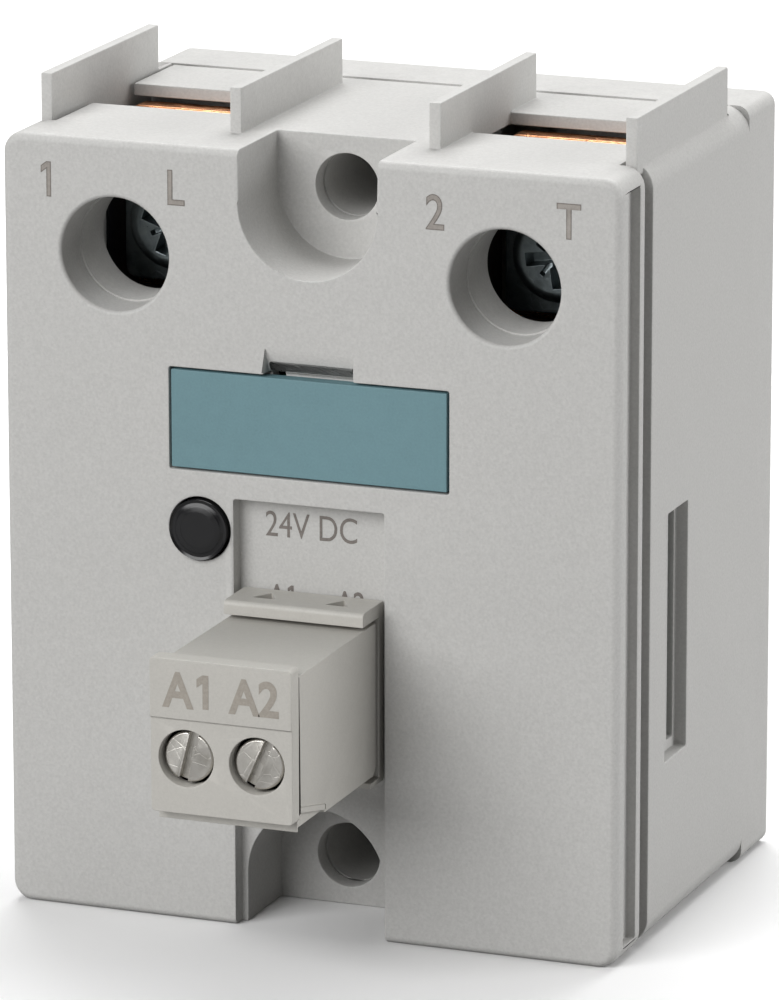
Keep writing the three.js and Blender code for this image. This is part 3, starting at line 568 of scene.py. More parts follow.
def coverShell():
    c = coverShape
    half = body["halfWidth"] - c["inset"]
    tall = body["halfHeight"]
    cover = newBlock("front_cover_shell", (-half, half), (behind(0), behind(c["depth"])),
                     (-tall, tall))
    roundEdges(cover, c["corner"], 8, frontToBack)
    roundEdges(cover, c["edge"], 4, lambda a, b: max(a.y, b.y) < behind(0) + 0.01)
    inner = half - c["wall"]
    carve(cover, newBlock("hollow", (-inner, inner), (behind(c["front"]), behind(9)),
                          (c["plate"] - tall, tall - c["plate"])))
    plateX = shoulderX - body["gap"]
    plateY = (behind(c["front"] - 0.2), behind(c["plateDepth"]))
    weld(cover,
         newBlock("topPlate", (-plateX, plateX), plateY, (tall - c["plate"], tall)),
         newBlock("bottomPlate", (-plateX, plateX), plateY, (-tall, c["plate"] - tall)))
    return cover


def coverPads(cover):
    # thicker wall behind the label seat and the middle recess
    s, n = labelShape, channelShape
    inside = coverShape["front"] - 0.2
    half = s["width"] / 2 + 1
    wide = n["width"] / 2 + 1
    low = coverShape["plate"] - 0.2 - body["halfHeight"]
    weld(cover,
         newBlock("labelPad", (-half, half), (behind(inside), behind(s["recess"] + 1.2)),
                  around(s["z"] + 0.6, s["height"] + 3.2)),
         newBlock("floorPad", (-wide, wide), (behind(inside), behind(n["depth"] + n["floor"])),
                  (low, n["top"] + 1)))


def coverEnd(cover, end):
    # mounting pocket at one end
    p = pocketShape
    inside = coverShape["front"] - 0.2
    thick = pocketTool("thick", end, p["radius"] + p["wall"], p["depth"] + p["floor"])
    tall = body["halfHeight"] - 0.1
    keep = newBlock("keep", (-20, 20), (behind(inside), behind(20)), (-tall, tall))
    weld(cover, withTool(thick, keep, "INTERSECT"))
    carve(cover, pocketTool("pocket", end, p["radius"], p["depth"]),
          newRod("screwHole", body["mountHole"], (behind(0), behind(12)), 0, end * body["mountZ"]))


def coverSide(cover, name, side):
    c, t, e = coverShape, terminalShape, entryShape
    x, z = centreOf("clamp_plate_" + name)
    inside = c["front"] - 0.2
    tall = body["halfHeight"]
    finY = (behind(c["finStart"]), behind(c["finStart"] + c["finLength"]))
    fin = newBlock("fin", around(side * c["finX"], c["fin"]), finY,
                   (tall - c["plate"], body["finTop"]))
    sleeveY = (behind(inside), behind(t["depth"]))
    sleeve = newRod("sleeve", t["bore"] + t["sleeve"], sleeveY, x, z, 80)
    tongueY = (behind(inside), behind(c["tongueDepth"]))
    tongue = newBlock("tongue", mirrored(side, c["tongueX"]), tongueY,
                      around(0, 2 * tall - c["plate"]))
    weld(cover, fin, sleeve, tongue)
    half = body["halfWidth"] - c["inset"]
    entryX = mirrored(side, (c["finX"] + c["fin"] / 2, shoulderX + 1))
    carve(cover,
          newRod("bore", t["bore"], (behind(-1), behind(t["stepDepth"])), x, z, 80),
          newRod("lowerBore", t["bore"] - t["step"], (behind(0), behind(t["depth"] + 1)), x, z, 80),
          newBlock("entry", entryX, (behind(e["start"]), behind(e["start"] + e["length"])),
                   (tall - c["plate"] - 0.5, tall + 1)),
          newBlock("groove", mirrored(side, (half - c["grooveRecess"], half + 1)),
                   (behind(c["grooveStart"]), behind(c["grooveStart"] + c["grooveWidth"])),
                   (c["grooveEnd"] - tall, tall - c["grooveEnd"])))


def coverFace(cover):
    # label seat with its pry notch, lens hole, middle recess and socket
    s, n, k = labelShape, channelShape, socketShape
    x, z = around(0, s["width"]), around(s["z"], s["height"])
    carve(cover, newBlock("seat", x, (behind(-1), behind(s["recess"])), z))
    notch = newBlock("notch", around(0, s["pryWidth"]), (behind(-1), behind(s["recess"])),
                     (z[1] - 0.1, z[1] + s["pryHeight"]))
    # its back slopes up to meet the front face
    chooseEdges(notch, lambda a, b: min(a.y, b.y) > behind(0.5) and min(a.z, b.z) > z[1])
    bpy.ops.transform.translate(value=(0, -s["recess"] * mm, 0))
    leave()
    carve(cover, notch)
    low, edge = z[1] - 0.6, s["pryWidth"] / 2
    clipY = (behind(0.5), behind(4))
    carve(cover,
          newBlock("clipHole", (0.25 - edge, 1.15 - edge), clipY, (low, z[1] + 0.75)),
          newBlock("clipSlit", (edge - 0.22, edge - 0.02), clipY, (low, z[1] + 0.8)),
          newRod("lensHole", lensShape["radius"] + lensShape["gap"], (behind(-1), behind(4)),
                 lensShape["x"], lensShape["z"], 64),
          newBlock("recess", around(0, n["width"]), (behind(-1), behind(n["depth"])),
                   (-body["halfHeight"] - 1, n["top"])),
          newBlock("socket", around(0, k["width"]), (behind(-1), behind(k["depth"])), k["z"]))
    for side in (-1, 1):
        carve(cover, newRod("pegHole", s["pegRadius"] + 0.2, (behind(0), behind(5)),
                            side * s["pegSpacing"] / 2, s["z"], 24))


def coverMouths(cover):
    # rounded rims on the terminal bores and the upper mounting pocket
    t, p = terminalShape, pocketShape
    for name in sideNames:
        x, z = centreOf("clamp_plate_" + name)
        near = lambda q: abs(math.hypot(q.x - x, q.z - z) - t["bore"]) < 0.03 and q.y < behind(0.01)
        roundEdges(cover, t["mouth"], 4, lambda a, b: near(a) and near(b))
    arc = lambda q: (abs(math.hypot(q.x, q.z - body["mountZ"]) - p["radius"]) < 0.03
                     and q.z < body["mountZ"] + 0.01 and q.y < behind(0.01))
    roundEdges(cover, p["mouth"], 4, lambda a, b: arc(a) and arc(b))


def makeCover():
    cover = coverShell()
    coverPads(cover)
    for end in (-1, 1):
        coverEnd(cover, end)
    for name, side in sideNames.items():
        coverSide(cover, name, side)
    coverFace(cover)
    coverMouths(cover)
    p = pocketShape

    def inside(point):
        # inside the cover, apart from the mounting pockets
        inPocket = (abs(point.x) < p["radius"] + 0.1
                    and abs(point.z) > body["mountZ"] - p["radius"] - 0.1
                    and point.y < behind(p["depth"] + 0.1))
        return (point.y > behind(coverShape["insideDepth"])
                and abs(point.z) < body["halfHeight"] - 0.95
                and abs(point.x) < body["halfWidth"] - 1.05 and not inPocket)

    softenAll(cover, coverShape["sharpRadius"], 2, lambda a, b: inside(a) and inside(b))
    finishPart(cover, "housing_plastic", "relay", "front_cover")
    print("front cover modelled,", len(cover.data.polygons), "faces")


makeCover()


# base housing

housingShape = {
    "start": 6.1, "wall": 2.0, "corner": 1.8, "sharpRadius": 0.14,
    "flangeCorner": 0.9, "flange": 26.2, "rim": 1.2, "ledge": 3.3,
    "finStart": 5.05, "finLength": 18.8, "fin": 0.86, "finSink": 0.8,
    "slotZ": (-15.25, 2.25), "slotStart": 9.4, "slotLength": 4.5, "slotDepth": 0.9,
    "slitInset": 0.3, "slit": 1.2, "slitEnd": 0.7,
    "pillarWall": 1.9,
}


def housingShell():
    h = housingShape
    half, tall = body["halfWidth"], body["halfHeight"]
    back = housingHigh.y
    shell = newBlock("base_housing_shell", (-half, half),
                     (behind(h["start"]), behind(h["flange"] + 1)), (-tall, tall))
    roundEdges(shell, h["corner"], 8, frontToBack)
    flange = newBlock("flange", (-half, half), (behind(h["flange"]), back), (-tall, tall))
    roundEdges(flange, h["flangeCorner"], 6, frontToBack)
    weld(shell, flange)
    inX, inZ = half - h["wall"], tall - h["wall"]
    ledge = -h["ledge"]
    carve(shell,
          newBlock("hollow", (-inX, inX), (behind(0), ledge), (-inZ, inZ)),
          newBlock("through", (0.8 - inX, inX - 0.8), (ledge - 1, 1), (0.8 - inZ, inZ - 0.8)),
          newBlock("rebate", (h["rim"] - half, half - h["rim"]), (ledge, 1),
                   (h["rim"] - tall, tall - h["rim"])),
          newBlock("openEnds", (-shoulderX, shoulderX), (behind(0), behind(h["flange"])),
                   (-tall - 1, tall + 1)))
    return shell


def housingSide(shell, name, side):
    h = housingShape
    tall, half = body["halfHeight"], body["halfWidth"]
    start = behind(h["finStart"])
    fin = newBlock("fin", mirrored(side, (shoulderX, shoulderX + h["fin"])),
                   (start, start + h["finLength"]), (tall - h["finSink"], body["finTop"]))
    weld(shell, fin)
    y = behind(h["slotStart"])
    slitY = y + h["slotLength"] - h["slitInset"] - h["slit"]
    low, high = h["slotZ"]
    carve(shell,
          newBlock("slot", mirrored(side, (half - h["slotDepth"], half + 1)),
                   (y, y + h["slotLength"]), (low, high)),
          newBlock("slit", mirrored(side, (half - h["wall"] - 1, half + 1)),
                   (slitY, slitY + h["slit"]), (low + h["slitEnd"], high - h["slitEnd"])))
    nutLow, nutHigh = span("terminal_nut_" + name)
    x, z = centreOf("clamp_plate_" + name)
    shelfX = (abs(x) - 4.5, half - h["wall"] + 0.8)
    shelfY = (nutHigh.y + body["gap"], nutHigh.y + body["gap"] + 2)
    shelf = newBlock("shelf", mirrored(side, shelfX), shelfY, (nutLow.z - 1, tall - 1.5))
    weld(shell, carve(shelf, newRod("clear", 2.5, (shelfY[0] - 1, shelfY[1] + 1), x, z, 32)))


def housingPillar(shell, end):
    # tube round the mounting hole, tied to the rear flange
    h, p = housingShape, pocketShape
    tall = body["halfHeight"]
    radius = body["mountHole"] + h["pillarWall"]
    start = behind(p["depth"] + p["floor"] + body["gap"])
    z = end * body["mountZ"]
    tube = newRod("tube", radius, (start, -h["ledge"]), 0, z, 64)
    weld(tube, newBlock("web", (-radius, radius), (behind(h["flange"]), -h["ledge"]),
                        mirrored(end, (body["mountZ"], tall - 0.8))))
    carve(tube,
          newBlock("plateRoom", (-9, 9), (start - 1, behind(h["flange"])),
                   mirrored(end, (tall - 1.2, tall + 9))),
          newBlock("wallRoom", (-9, 9), (start - 1, 1), mirrored(end, (tall - 0.8, tall + 9))))
    weld(shell, tube)
    carve(shell, newRod("screwHole", body["mountHole"], (behind(0), 1), 0, z))


def makeHousing():
    shell = housingShell()
    for name, side in sideNames.items():
        housingSide(shell, name, side)
    for end in (-1, 1):
        housingPillar(shell, end)
    half, tall = body["halfWidth"], body["halfHeight"]
    corner = housingShape["corner"] + 0.1

    def shallow(a, b):
        # where faces meet at a slant: round the pillars, and under the flange's corners
        pillar = all(abs(p.x) < 4.6 and abs(p.z) > tall - 8.5 for p in (a, b))
        crescent = all(abs(p.x) > half - corner and abs(p.z) > tall - corner
                       and abs(p.y - behind(housingShape["flange"])) < 0.1 for p in (a, b))
        return pillar or crescent

    softenAll(shell, housingShape["sharpRadius"], 2, shallow)
    finishPart(shell, "housing_plastic", "relay", "base_housing")
    print("base housing modelled,", len(shell.data.polygons), "faces")


makeHousing()


# base plate

basePlateShape = {"corner": 1.8, "sharpRadius": 0.2}


def makeBasePlate():
    s = basePlateShape
    plate = newBlock("base_plate_machined", (plateLow.x, plateHigh.x), (plateLow.y, plateHigh.y),
                     (plateLow.z, plateHigh.z))
    roundEdges(plate, s["corner"], 8, frontToBack)
    for end in (-1, 1):
        z = end * body["mountZ"]
        carve(plate, newRod("hole", body["mountHole"], (plateLow.y - 1, 1), 0, z))
    softenAll(plate, s["sharpRadius"])
    finishPart(plate, "plated_metal", "relay", "base_plate")
    print("base plate modelled")


makeBasePlate()


# label plate and status lens

def makeLabel():
    s = labelShape
    x, z = around(0, s["width"] - 2 * s["gap"]), around(s["z"], s["height"] - 2 * s["gap"])
    plate = newBlock("label_insert", x, (behind(0), behind(s["recess"] - s["backGap"])), z)
    for side in (-1, 1):
        weld(plate, newRod("peg", s["pegRadius"], (behind(0.5), behind(s["pegEnd"])),
                           side * s["pegSpacing"] / 2, s["z"], 32))
    softenAll(plate, s["sharpRadius"])
    finishPart(plate, "label_plastic", "label", "label_plate")
    print("label insert modelled")


def makeLens():
    # rim, then a low dome raised by insets, and the flange and light pipe behind
    s = lensShape
    front, back = s["flange"]
    lens = newRod("status_lens_dome", s["radius"], (behind(0), behind(front)), s["x"], s["z"], 64)
    atFront = lambda middle, normal: normal.y < -0.9
    pushFaces(lens, -s["rimDrop"], atFront, s["rim"])
    reach = s["radius"] - s["rim"] - 0.02
    turns = [math.pi / 2 * step / (s["steps"] + 1) for step in range(s["steps"] + 1)]
    for low, high in zip(turns, turns[1:]):
        rise = math.sin(high) - math.sin(low)
        pushFaces(lens, s["dome"] * rise, atFront, reach * (math.cos(low) - math.cos(high)))
    weld(lens,
         newRod("flange", s["radius"] + s["flangeWidth"], (behind(front), behind(back)),
                s["x"], s["z"], 48),
         newRod("lightPipe", s["radius"] - s["pipeInset"], (behind(back - 0.2), s["back"]),
                s["x"], s["z"], 48))
    softenAll(lens, s["sharpRadius"], 2, lambda a, b: max(a.y, b.y) < behind(1))
    finishPart(lens, "smoked_lens", "relay", "status_lens")
    print("status lens modelled")


makeLabel()
makeLens()


# control plug

plugLow, plugHigh = span("plug_housing")
carrierLow, carrierHigh = span("plug_carrier")
plugShape = {
    "headThickness": 1.4, "headHeight": 10.75, "bodyInset": 0.1, "bodyHeight": 10.75,
    "wall": 0.8, "cavity": 4.1, "bore": 1.97, "faceStep": 0.14, "stepZ": -8.0,
    "entryWidth": 3.2, "sharpRadius": 0.1,
    "rib": {"length": 4.7, "rise": 1.3, "drop": 1.1, "height": 0.45, "notch": 0.36, "proud": 0.08},
}


def slant(obj, low, drop):
    # moves the rear corners that lie above a height down, so that the top slopes to the back
    middle = sum(corner[1] for corner in obj.bound_box) / 8 / mm
    chooseEdges(obj, lambda a, b: min(a.z, b.z) > low and min(a.y, b.y) > middle)
    bpy.ops.mesh.select_mode(type="VERT")
    bpy.ops.transform.translate(value=(0, 0, -drop * mm))
    leave()


def makePlugBody():
    p = plugShape
    face, half = plugLow.y, plugHigh.x
    headBack = face + p["headThickness"]
    headZ = (plugHigh.z - p["headHeight"], plugHigh.z)
    bodyZ = (plugLow.z, plugLow.z + p["bodyHeight"])
    plug = newBlock("plug_body", (-half, half), (face, headBack), headZ)
    roundEdges(plug, 0.3, 4, frontToBack)
    bodyHalf = half - p["bodyInset"]
    rear = newBlock("rear", (-bodyHalf, bodyHalf), (headBack - 0.2, plugHigh.y), bodyZ)
    # the lower edge is relieved towards the socket
    roundEdges(rear, 0.5, 1, lambda a, b: min(a.y, b.y) > plugHigh.y - 0.1
               and max(a.z, b.z) < bodyZ[0] + 0.1)
    weld(plug, rear)
    for side in (-1, 1):
        # the side's lower edge is cut back behind the head, with a slanting rib along the cut
        r = p["rib"]
        y = (headBack - 0.1, headBack + r["length"])
        cutEdge = bodyZ[0] + r["rise"]
        notch = newBlock("notch", mirrored(side, (bodyHalf - r["notch"], half + 1)),
                         (headBack, y[1]), (bodyZ[0] - 1, cutEdge))
        rib = newBlock("rib", mirrored(side, (bodyHalf - 0.3, bodyHalf + r["proud"])), y,
                       (cutEdge, cutEdge + r["height"]))
        slant(notch, cutEdge - 0.1, r["drop"])
        slant(rib, cutEdge - 0.1, r["drop"])
        carve(plug, notch)
        weld(plug, rib)
    # the screw half of the face stands back a little from the marked half
    carve(plug, newBlock("faceStep", (-half - 1, half + 1), (face - 1, face + p["faceStep"]),
                         (headZ[0] - 1, p["stepZ"])))
    cavityZ = (bodyZ[0] + p["wall"], bodyZ[1] - p["wall"] - 0.6)
    cageLow, cageHigh = span("plug_cage_a1")
    for pole in poleNames:
        x, z = centreOf("plug_screw_" + pole)
        carve(plug,
              newBlock("cavity", around(x, p["cavity"]), (face + 2.1, plugHigh.y + 1), cavityZ),
              newRod("bore", p["bore"], (face - 1, face + 2.2), x, z, 64),
              newBlock("wireEntry", around(x, p["entryWidth"]), (cageLow.y + 1, cageHigh.y - 0.6),
                       (bodyZ[0] - 1, cavityZ[0] + 0.1)))
    softenAll(plug, p["sharpRadius"], 2, lambda a, b: min(abs(a.x), abs(b.x)) > bodyHalf - 0.05
              and max(a.z, b.z) < bodyZ[0] + 2 and min(a.y, b.y) > headBack - 0.1)
    finishPart(plug, "plug_plastic", "plug", "plug_housing")
    print("plug body modelled,", len(plug.data.polygons), "faces")


carrierShape = {
    "gap": 0.3, "plate": 0.8, "bar": 3.8, "barRound": 0.35, "lip": 2.4, "sharpRadius": 0.07,
    "tongueZ": -9.6, "tongueHeight": 6, "tongueInset": 0.5, "way": (2.4, 2.9),
    "testX": (-2.7, 2.6), "testSize": 0.95, "testDepth": 0.8, "testInset": 1.85,
}


def makeCarrier():
    # rear plate with its grip bar and lower lip, and the tongue that goes into the socket
    s = carrierShape
    half = carrierHigh.x
    rear = plugHigh.y + s["gap"] + s["plate"]
    front = rear - s["plate"]
    top, low = carrierHigh.z, carrierLow.z
    bodyTop = plugLow.z + plugShape["bodyHeight"]
    piece = newBlock("plug_carrier_plate", (-half, half), (front, rear), (low, top))
    bar = newBlock("bar", (-half, half), (rear - s["bar"], rear), (bodyTop + s["gap"], top))
    roundEdges(bar, s["barRound"], 4, lambda a, b: max(a.y, b.y) < rear - s["bar"] + 0.1
               and min(a.z, b.z) > top - 0.1)
    lip = newBlock("lip", (-half, half), (rear - s["lip"], rear), (low, plugLow.z - s["gap"]))
    tongueHalf = half - s["tongueInset"]
    tongue = newBlock("tongue", (-tongueHalf, tongueHalf), (rear - 0.1, carrierHigh.y),
                      around(s["tongueZ"], s["tongueHeight"]))
    weld(piece, bar, lip, tongue)
    wayWidth, wayHeight = s["way"]
    for pole in poleNames:
        carve(piece, newBlock("contactWay", around(centreOf("plug_screw_" + pole)[0], wayWidth),
                              (front - 1, carrierHigh.y + 1), around(s["tongueZ"], wayHeight)))
    # three-sided test holes in the grip bar, pointing backwards
    for x in s["testX"]:
        bpy.ops.mesh.primitive_cylinder_add(
            vertices=3, radius=s["testSize"] * mm, depth=2 * s["testDepth"] * mm,
            location=(x * mm, (rear - s["testInset"]) * mm, top * mm))
        carve(piece, settle(bpy.context.active_object, "testHole"))
    softenAll(piece, s["sharpRadius"])
    finishPart(piece, "plug_plastic", "plug", "plug_carrier")
    print("plug carrier modelled")


makePlugBody()
makeCarrier()


# control screws

controlScrewShape = {
    "head": 1.75, "headDepth": 1.4, "headRound": 0.18, "sharpRadius": 0.035,
    "slot": 0.62, "slotDepth": 0.6, "chamfer": 0.13, "shank": 1.1, "neck": 0.5, "pitch": 0.5,
}
controlScrewTurn = {"a1": 14, "a2": 24}


def makeControlScrews():
    s = controlScrewShape
    low, high = span("plug_screw_a1")
    headBack = low.y + s["headDepth"]
    screw = newRod("screw", s["head"], (low.y, headBack), 0, 0, 64)
    pushFaces(screw, 0.0, lambda middle, normal: normal.y < -0.9, 0.35)
    roundEdges(screw, s["headRound"], 3, lambda a, b: max(a.y, b.y) < low.y + 0.01
               and min(a.xz.length, b.xz.length) > s["head"] - 0.05)
    slotY = (low.y - 1, low.y + s["slotDepth"])
    carve(screw, newBlock("slot", around(0, s["slot"]), slotY, (-3, 3)))
    # lead-in chamfers along the slot
    roundEdges(screw, s["chamfer"], 1, lambda a, b: max(a.y, b.y) < low.y + 0.01
               and abs(abs(a.x) - s["slot"] / 2) < 0.01 and abs(abs(b.x) - s["slot"] / 2) < 0.01)
    softenAll(screw, s["sharpRadius"])
    weld(screw, threadedShank(s["shank"], headBack - 0.1, headBack + s["neck"], high.y,
                              s["pitch"], 32))
    for pole in poleNames:
        name, node = "control_screw_" + pole, "plug_screw_" + pole
        piece = seatedCopy(screw, name, node, controlScrewTurn[pole])
        finishPart(piece, "plated_metal", name, node)
    bpy.data.objects.remove(screw)
    print("control screws modelled")


def threadedShank(radius, start, neck, end, pitch, sides):
    # plain neck, then ridges made by extruding the end and scaling it in and out
    shank = newRod("shank", radius, (start, neck), 0, 0, sides)
    root = 1 - 0.55 * pitch / radius
    turn = ((0.4, root), (0.1, 1.0), (0.4, 1 / root), (0.1, 1.0))
    count = int((end - neck) / pitch)
    chooseFaces(shank, lambda middle, normal: normal.y > 0.9)
    for step in range(count):
        for share, size in turn:
            room = pitch if step < count - 1 else end - neck - (count - 1) * pitch
            length = share * room
            bpy.ops.mesh.extrude_region_move(TRANSFORM_OT_translate={"value": (0, length * mm, 0)})
            bpy.ops.transform.resize(value=(size, 1, size), center_override=(0, 0, 0))
    leave()
    return shank


makeControlScrews()


# load terminals

loadScrewShape = {
    "head": 3.3, "headDepth": 2.5, "dome": 0.9, "sharpRadius": 0.06,
    "cross": 4.3, "crossWidth": 0.9, "crossDepth": 1.6,
    "tick": 3.2, "tickWidth": 0.35, "tickDepth": 0.7,
    "shank": 2.0, "neck": 3.5, "pitch": 0.7,
}
loadScrewTurn = {"line": 20, "load": -8}
loadBarShape = {"thickness": 1.8, "corner": 0.5, "hole": 2.3, "sharpRadius": 0.15,
                "legWidth": 5.5, "leg": 1.5, "foot": 5.6}


def makeLoadScrews():
    s = loadScrewShape
    low, high = span("terminal_screw_line")
    headBack = low.y + s["headDepth"]
    screw = newRod("screw", s["head"], (low.y, headBack), 0, 0, 72)
    roundEdges(screw, s["dome"], 6, lambda a, b: max(a.y, b.y) < low.y + 0.01)
    # cross recess, then the four ticks between its arms
    for kind, turns in (("cross", (0, 90)), ("tick", (45, 135))):
        for turn in turns:
            arm = newBlock("arm", around(0, s[kind]), (low.y - 1, low.y + s[kind + "Depth"]),
                           around(0, s[kind + "Width"]))
            arm.rotation_euler.y = math.radians(turn)
            carve(screw, settle(arm))
    softenAll(screw, s["sharpRadius"])
    weld(screw, threadedShank(s["shank"], headBack - 0.2, headBack + s["neck"], high.y,
                              s["pitch"], 40))
    for name in sideNames:
        node = "terminal_screw_" + name
        piece = seatedCopy(screw, "load_screw_" + name, node, loadScrewTurn[name])
        finishPart(piece, "zinc_steel", "screw_" + name, node)
    bpy.data.objects.remove(screw)
    print("load screws modelled")


clampShape = {"corner": 0.8, "hole": 2.3, "groove": 0.3, "firstGroove": 1.6, "groovePitch": 1.5,
              "grooves": 5, "sharpRadius": 0.12}


def makeClampPlates():
    s = clampShape
    for name in sideNames:
        low, high = span("clamp_plate_" + name)
        x, z = centreOf("clamp_plate_" + name)
        plate = newBlock("wire_clamp_" + name, (low.x, high.x), (low.y, high.y), (low.z, high.z))
        roundEdges(plate, s["corner"], 4, frontToBack)
        carve(plate, newRod("hole", s["hole"], (low.y - 1, high.y + 1), x, z, 48))
        # serrations that bite the wire
        for step in range(s["grooves"]):
            grooveZ = low.z + s["firstGroove"] + s["groovePitch"] * step
            carve(plate, newBlock("groove", (low.x - 1, high.x + 1), around(high.y, s["groove"]),
                                  around(grooveZ, s["groove"])))
        softenAll(plate, s["sharpRadius"])
        finishPart(plate, "zinc_steel", "clamp_" + name, "clamp_plate_" + name)
    print("wire clamps modelled")


def makeLoadBars():
    b = loadBarShape
    for name in sideNames:
        low, high = span("load_bar_" + name)
        x, z = centreOf("clamp_plate_" + name)
        barLow = low.z + b["foot"]
        bar = newBlock("copper_bar_" + name, (low.x, high.x), (low.y, low.y + b["thickness"]),
                       (barLow, high.z))
        roundEdges(bar, b["corner"], 3, frontToBack)
        legX = around(x, b["legWidth"])
        weld(bar,
             newBlock("leg", legX, (low.y, high.y), (barLow, barLow + b["leg"])),
             newBlock("foot", legX, (high.y - b["leg"], high.y), (low.z, barLow + b["leg"])))
        carve(bar, newRod("hole", b["hole"], (low.y - 1, low.y + 3), x, z, 48))
        softenAll(bar, b["sharpRadius"], 3)
        finishPart(bar, "copper", "relay", "load_bar_" + name)
    print("copper bars modelled")


makeLoadScrews()
makeClampPlates()
makeLoadBars()


# printed marks

def figureOne(x, weight):
    # upright stroke with its flag extruded from the top of its left side
    tall, wide = 0.70, 0.085 + 2 * weight
    bpy.ops.mesh.primitive_plane_add(size=1, location=(x + 0.2, tall / 2, 0))
    bpy.context.active_object.scale = (wide, tall, 1)
    obj = settle(bpy.context.active_object)
    editAll(obj, "EDGE")
    bpy.ops.mesh.bisect(plane_co=(0, tall - 1.25 * wide, 0), plane_no=(0, 1, 0))
    leave()
    chooseEdges(obj, lambda a, b: max(a.x, b.x) * mm < x + 0.2 - wide / 2 + 0.001
                and min(a.y, b.y) * mm > tall - 1.3 * wide)
    bpy.ops.mesh.extrude_region_move(TRANSFORM_OT_translate={"value": (-0.14, -0.09, 0)})
    leave()
    return obj


def lettering(text, weight):
    # flat lettering in the drawing plane; a one at the end is drawn with its flag
    plain = text.rstrip("1")
    pieces, edge = [], 0.0
    if plain:
        bpy.ops.object.text_add(location=(0, 0, 0))
        obj = bpy.context.active_object
        obj.data.body = plain
        obj.data.offset = weight
        obj.data.resolution_u = 6
        pick(obj)
        bpy.ops.object.convert(target="MESH")
        pieces.append(bpy.context.active_object)
        edge = max(v.co.x for v in pieces[0].data.vertices) + 0.08
    if plain != text:
        pieces.append(figureOne(edge, weight))
    bpy.ops.object.select_all(action="DESELECT")
    for piece in pieces:
        piece.select_set(True)
    bpy.context.view_layer.objects.active = pieces[0]
    if len(pieces) > 1:
        bpy.ops.object.join()
    return bpy.context.active_object


printShape = {"lift": 0.015, "rim": 0.07, "height": 2.45, "ratingHeight": 1.8, "socketHeight": 1.6,
              "plugHeight": 2.5}


def mark(name, text, height, x, z, y, bodyName, finish, inner=None, squeeze=0.8, weight=0.01):
    # thin print on a face that looks forward; x and z are the middle of the mark
    obj = lettering(text, weight)
    xs = [v.co.x for v in obj.data.vertices]
    ys = [v.co.y for v in obj.data.vertices]
    size = height * mm / (max(ys) - min(ys))
    middle = Vector(((max(xs) + min(xs)) / 2, (max(ys) + min(ys)) / 2, 0))
    obj.data.transform(Matrix.Diagonal((size * squeeze, size, 1, 1)) @ Matrix.Translation(-middle))
    obj.rotation_euler = (math.pi / 2, 0, 0)
    obj.location = (x * mm, (y - printShape["lift"]) * mm, z * mm)
    settle(obj, name)
    editAll(obj, "FACE")
    bpy.ops.mesh.remove_doubles(threshold=0.001 * mm)
    leave()
    dress(obj, finish, *([inner] if inner else []))
    if inner:
        editAll(obj, "FACE")
        bpy.ops.mesh.inset(thickness=printShape["rim"] * mm, use_even_offset=True)
        obj.active_material_index = 1
        bpy.ops.object.material_slot_assign()
        leave()
    return place(obj, bodyName, "housing_plastic")


terminalMarks = {
    "mark_1": ("1", -19.15, 24.35), "mark_L": ("L", -9.55, 24.45),
    "mark_2": ("2", 9.2, 24.25), "mark_T": ("T", 18.7, 24.35),
}


def makeMarks():
    s = printShape
    for name, (text, x, z) in terminalMarks.items():
        mark(name, text, s["height"], x, z, behind(0), "relay", "print", "printPale", 0.84, 0.016)
    floor = behind(channelShape["depth"])
    mark("mark_rating", "24V DC", s["ratingHeight"], -0.25, 1.3, floor, "relay", "print", weight=0)
    for pole, x in (("A1", -2.5), ("A2", 2.6)):
        mark("mark_socket_" + pole.lower(), pole, s["socketHeight"], x, -3.75, floor,
             "relay", "print")
    for pole, x in (("A1", -2.5), ("A2", 2.4)):
        mark("mark_plug_" + pole.lower(), pole, s["plugHeight"], x, -5.95, plugLow.y,
             "plug", "plugPrint", None, 0.9, 0.028)
    print("marks printed")


makeMarks()


# the nodes that stay as they are take their finish from the record

for row in frame["record"]["subparts"]:
    node = nodes[row["node"]]
    if not node.hide_render:
        dress(node, row["material_slot"])


# camera, light and floor

cameraShape = {
    "azimuth": 21.26, "elevation": 14.613, "roll": -0.056, "distance": 517.88,
    "target": (-0.343, -16.1, -0.415), "lens": 266.4,
}


def makeCamera():
    c = cameraShape
    azimuth, elevation = math.radians(c["azimuth"]), math.radians(c["elevation"])
    flat = math.cos(elevation)
    back = Vector((math.sin(azimuth) * flat, -math.cos(azimuth) * flat, math.sin(elevation)))
    camera = bpy.data.objects.new("camera", bpy.data.cameras.new("camera"))
    bpy.context.scene.collection.objects.link(camera)
    camera.data.lens = c["lens"]
    camera.data.sensor_width = 36
    camera.data.clip_start = 0.01
    camera.data.clip_end = 20
    turn = (-back).to_track_quat("-Z", "Y").to_matrix().to_4x4()
    roll = Matrix.Rotation(math.radians(c["roll"]), 4, "Z")
    spot = Matrix.Translation((Vector(c["target"]) + back * c["distance"]) * mm)
    camera.matrix_world = spot @ turn @ roll
    bpy.context.scene.camera = camera


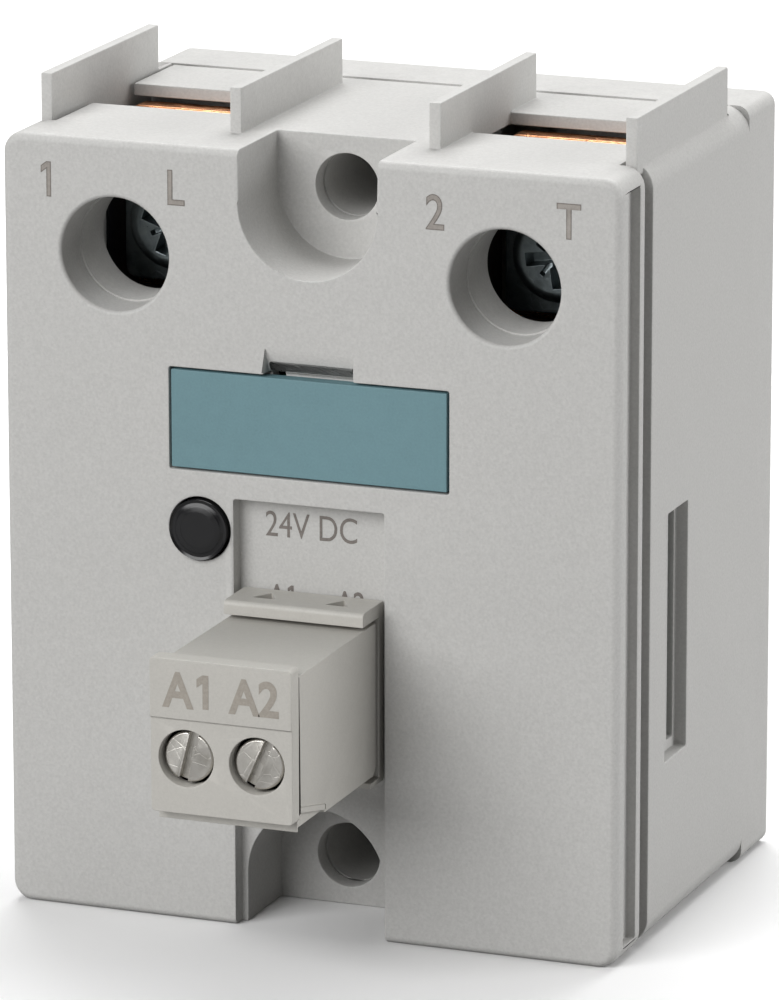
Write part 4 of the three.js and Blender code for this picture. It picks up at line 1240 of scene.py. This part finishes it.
lights = {
    "topSoftbox": {"place": (-0.05, 0.30, 0.50), "size": 0.5, "power": 3.9},
    "frontSoftbox": {"place": (-0.30, -0.75, 0.44), "size": 0.7, "power": 7.7},
    "sideSoftbox": {"place": (0.60, 0.16, 0.15), "size": 0.4, "power": 2.6},
}
studio = {"ambient": 0.11, "backdrop": 1.0, "floor": 0.95, "floorBounce": 0.35}


def makeLights():
    for name, light in lights.items():
        data = bpy.data.lights.new(name, "AREA")
        data.shape = "SQUARE"
        data.size = light["size"]
        data.energy = light["power"]
        lamp = bpy.data.objects.new(name, data)
        bpy.context.scene.collection.objects.link(lamp)
        lamp.location = light["place"]
        lamp.rotation_euler = (-lamp.location).to_track_quat("-Z", "Y").to_euler()
    # a soft grey room that lights the object, seen by the camera as a white backdrop
    world = bpy.data.worlds.new("studio")
    world.use_nodes = True
    tree = world.node_tree
    room = tree.nodes["Background"]
    backdrop = tree.nodes.new("ShaderNodeBackground")
    for node, strength in ((room, studio["ambient"]), (backdrop, studio["backdrop"])):
        node.inputs[0].default_value = (1, 1, 1, 1)
        node.inputs[1].default_value = strength
    choice = tree.nodes.new("ShaderNodeMixShader")
    tree.links.new(tree.nodes.new("ShaderNodeLightPath").outputs["Is Camera Ray"], choice.inputs[0])
    tree.links.new(room.outputs[0], choice.inputs[1])
    tree.links.new(backdrop.outputs[0], choice.inputs[2])
    tree.links.new(choice.outputs[0], tree.nodes["World Output"].inputs[0])
    bpy.context.scene.world = world


def makeFloor():
    bpy.ops.mesh.primitive_plane_add(size=12, location=(0, 0, -body["halfHeight"] * mm))
    floor = settle(bpy.context.active_object, "studio_floor")
    material, tree, shader = newMaterial("paleFloor", 0.8, specular=0.2)
    # pale to look at, and it throws less light back at the object than white card would
    seen = tree.nodes.new("ShaderNodeLightPath").outputs["Is Camera Ray"]
    pale, bounce = ((studio[key],) * 3 + (1,) for key in ("floor", "floorBounce"))
    tree.links.new(mixColour(tree, seen, bounce, pale), shader.inputs["Base Color"])
    floor.data.materials.append(material)


makeCamera()
makeLights()
makeFloor()
bpy.context.scene.view_settings.view_transform = "Standard"
print("camera, lights and floor placed")
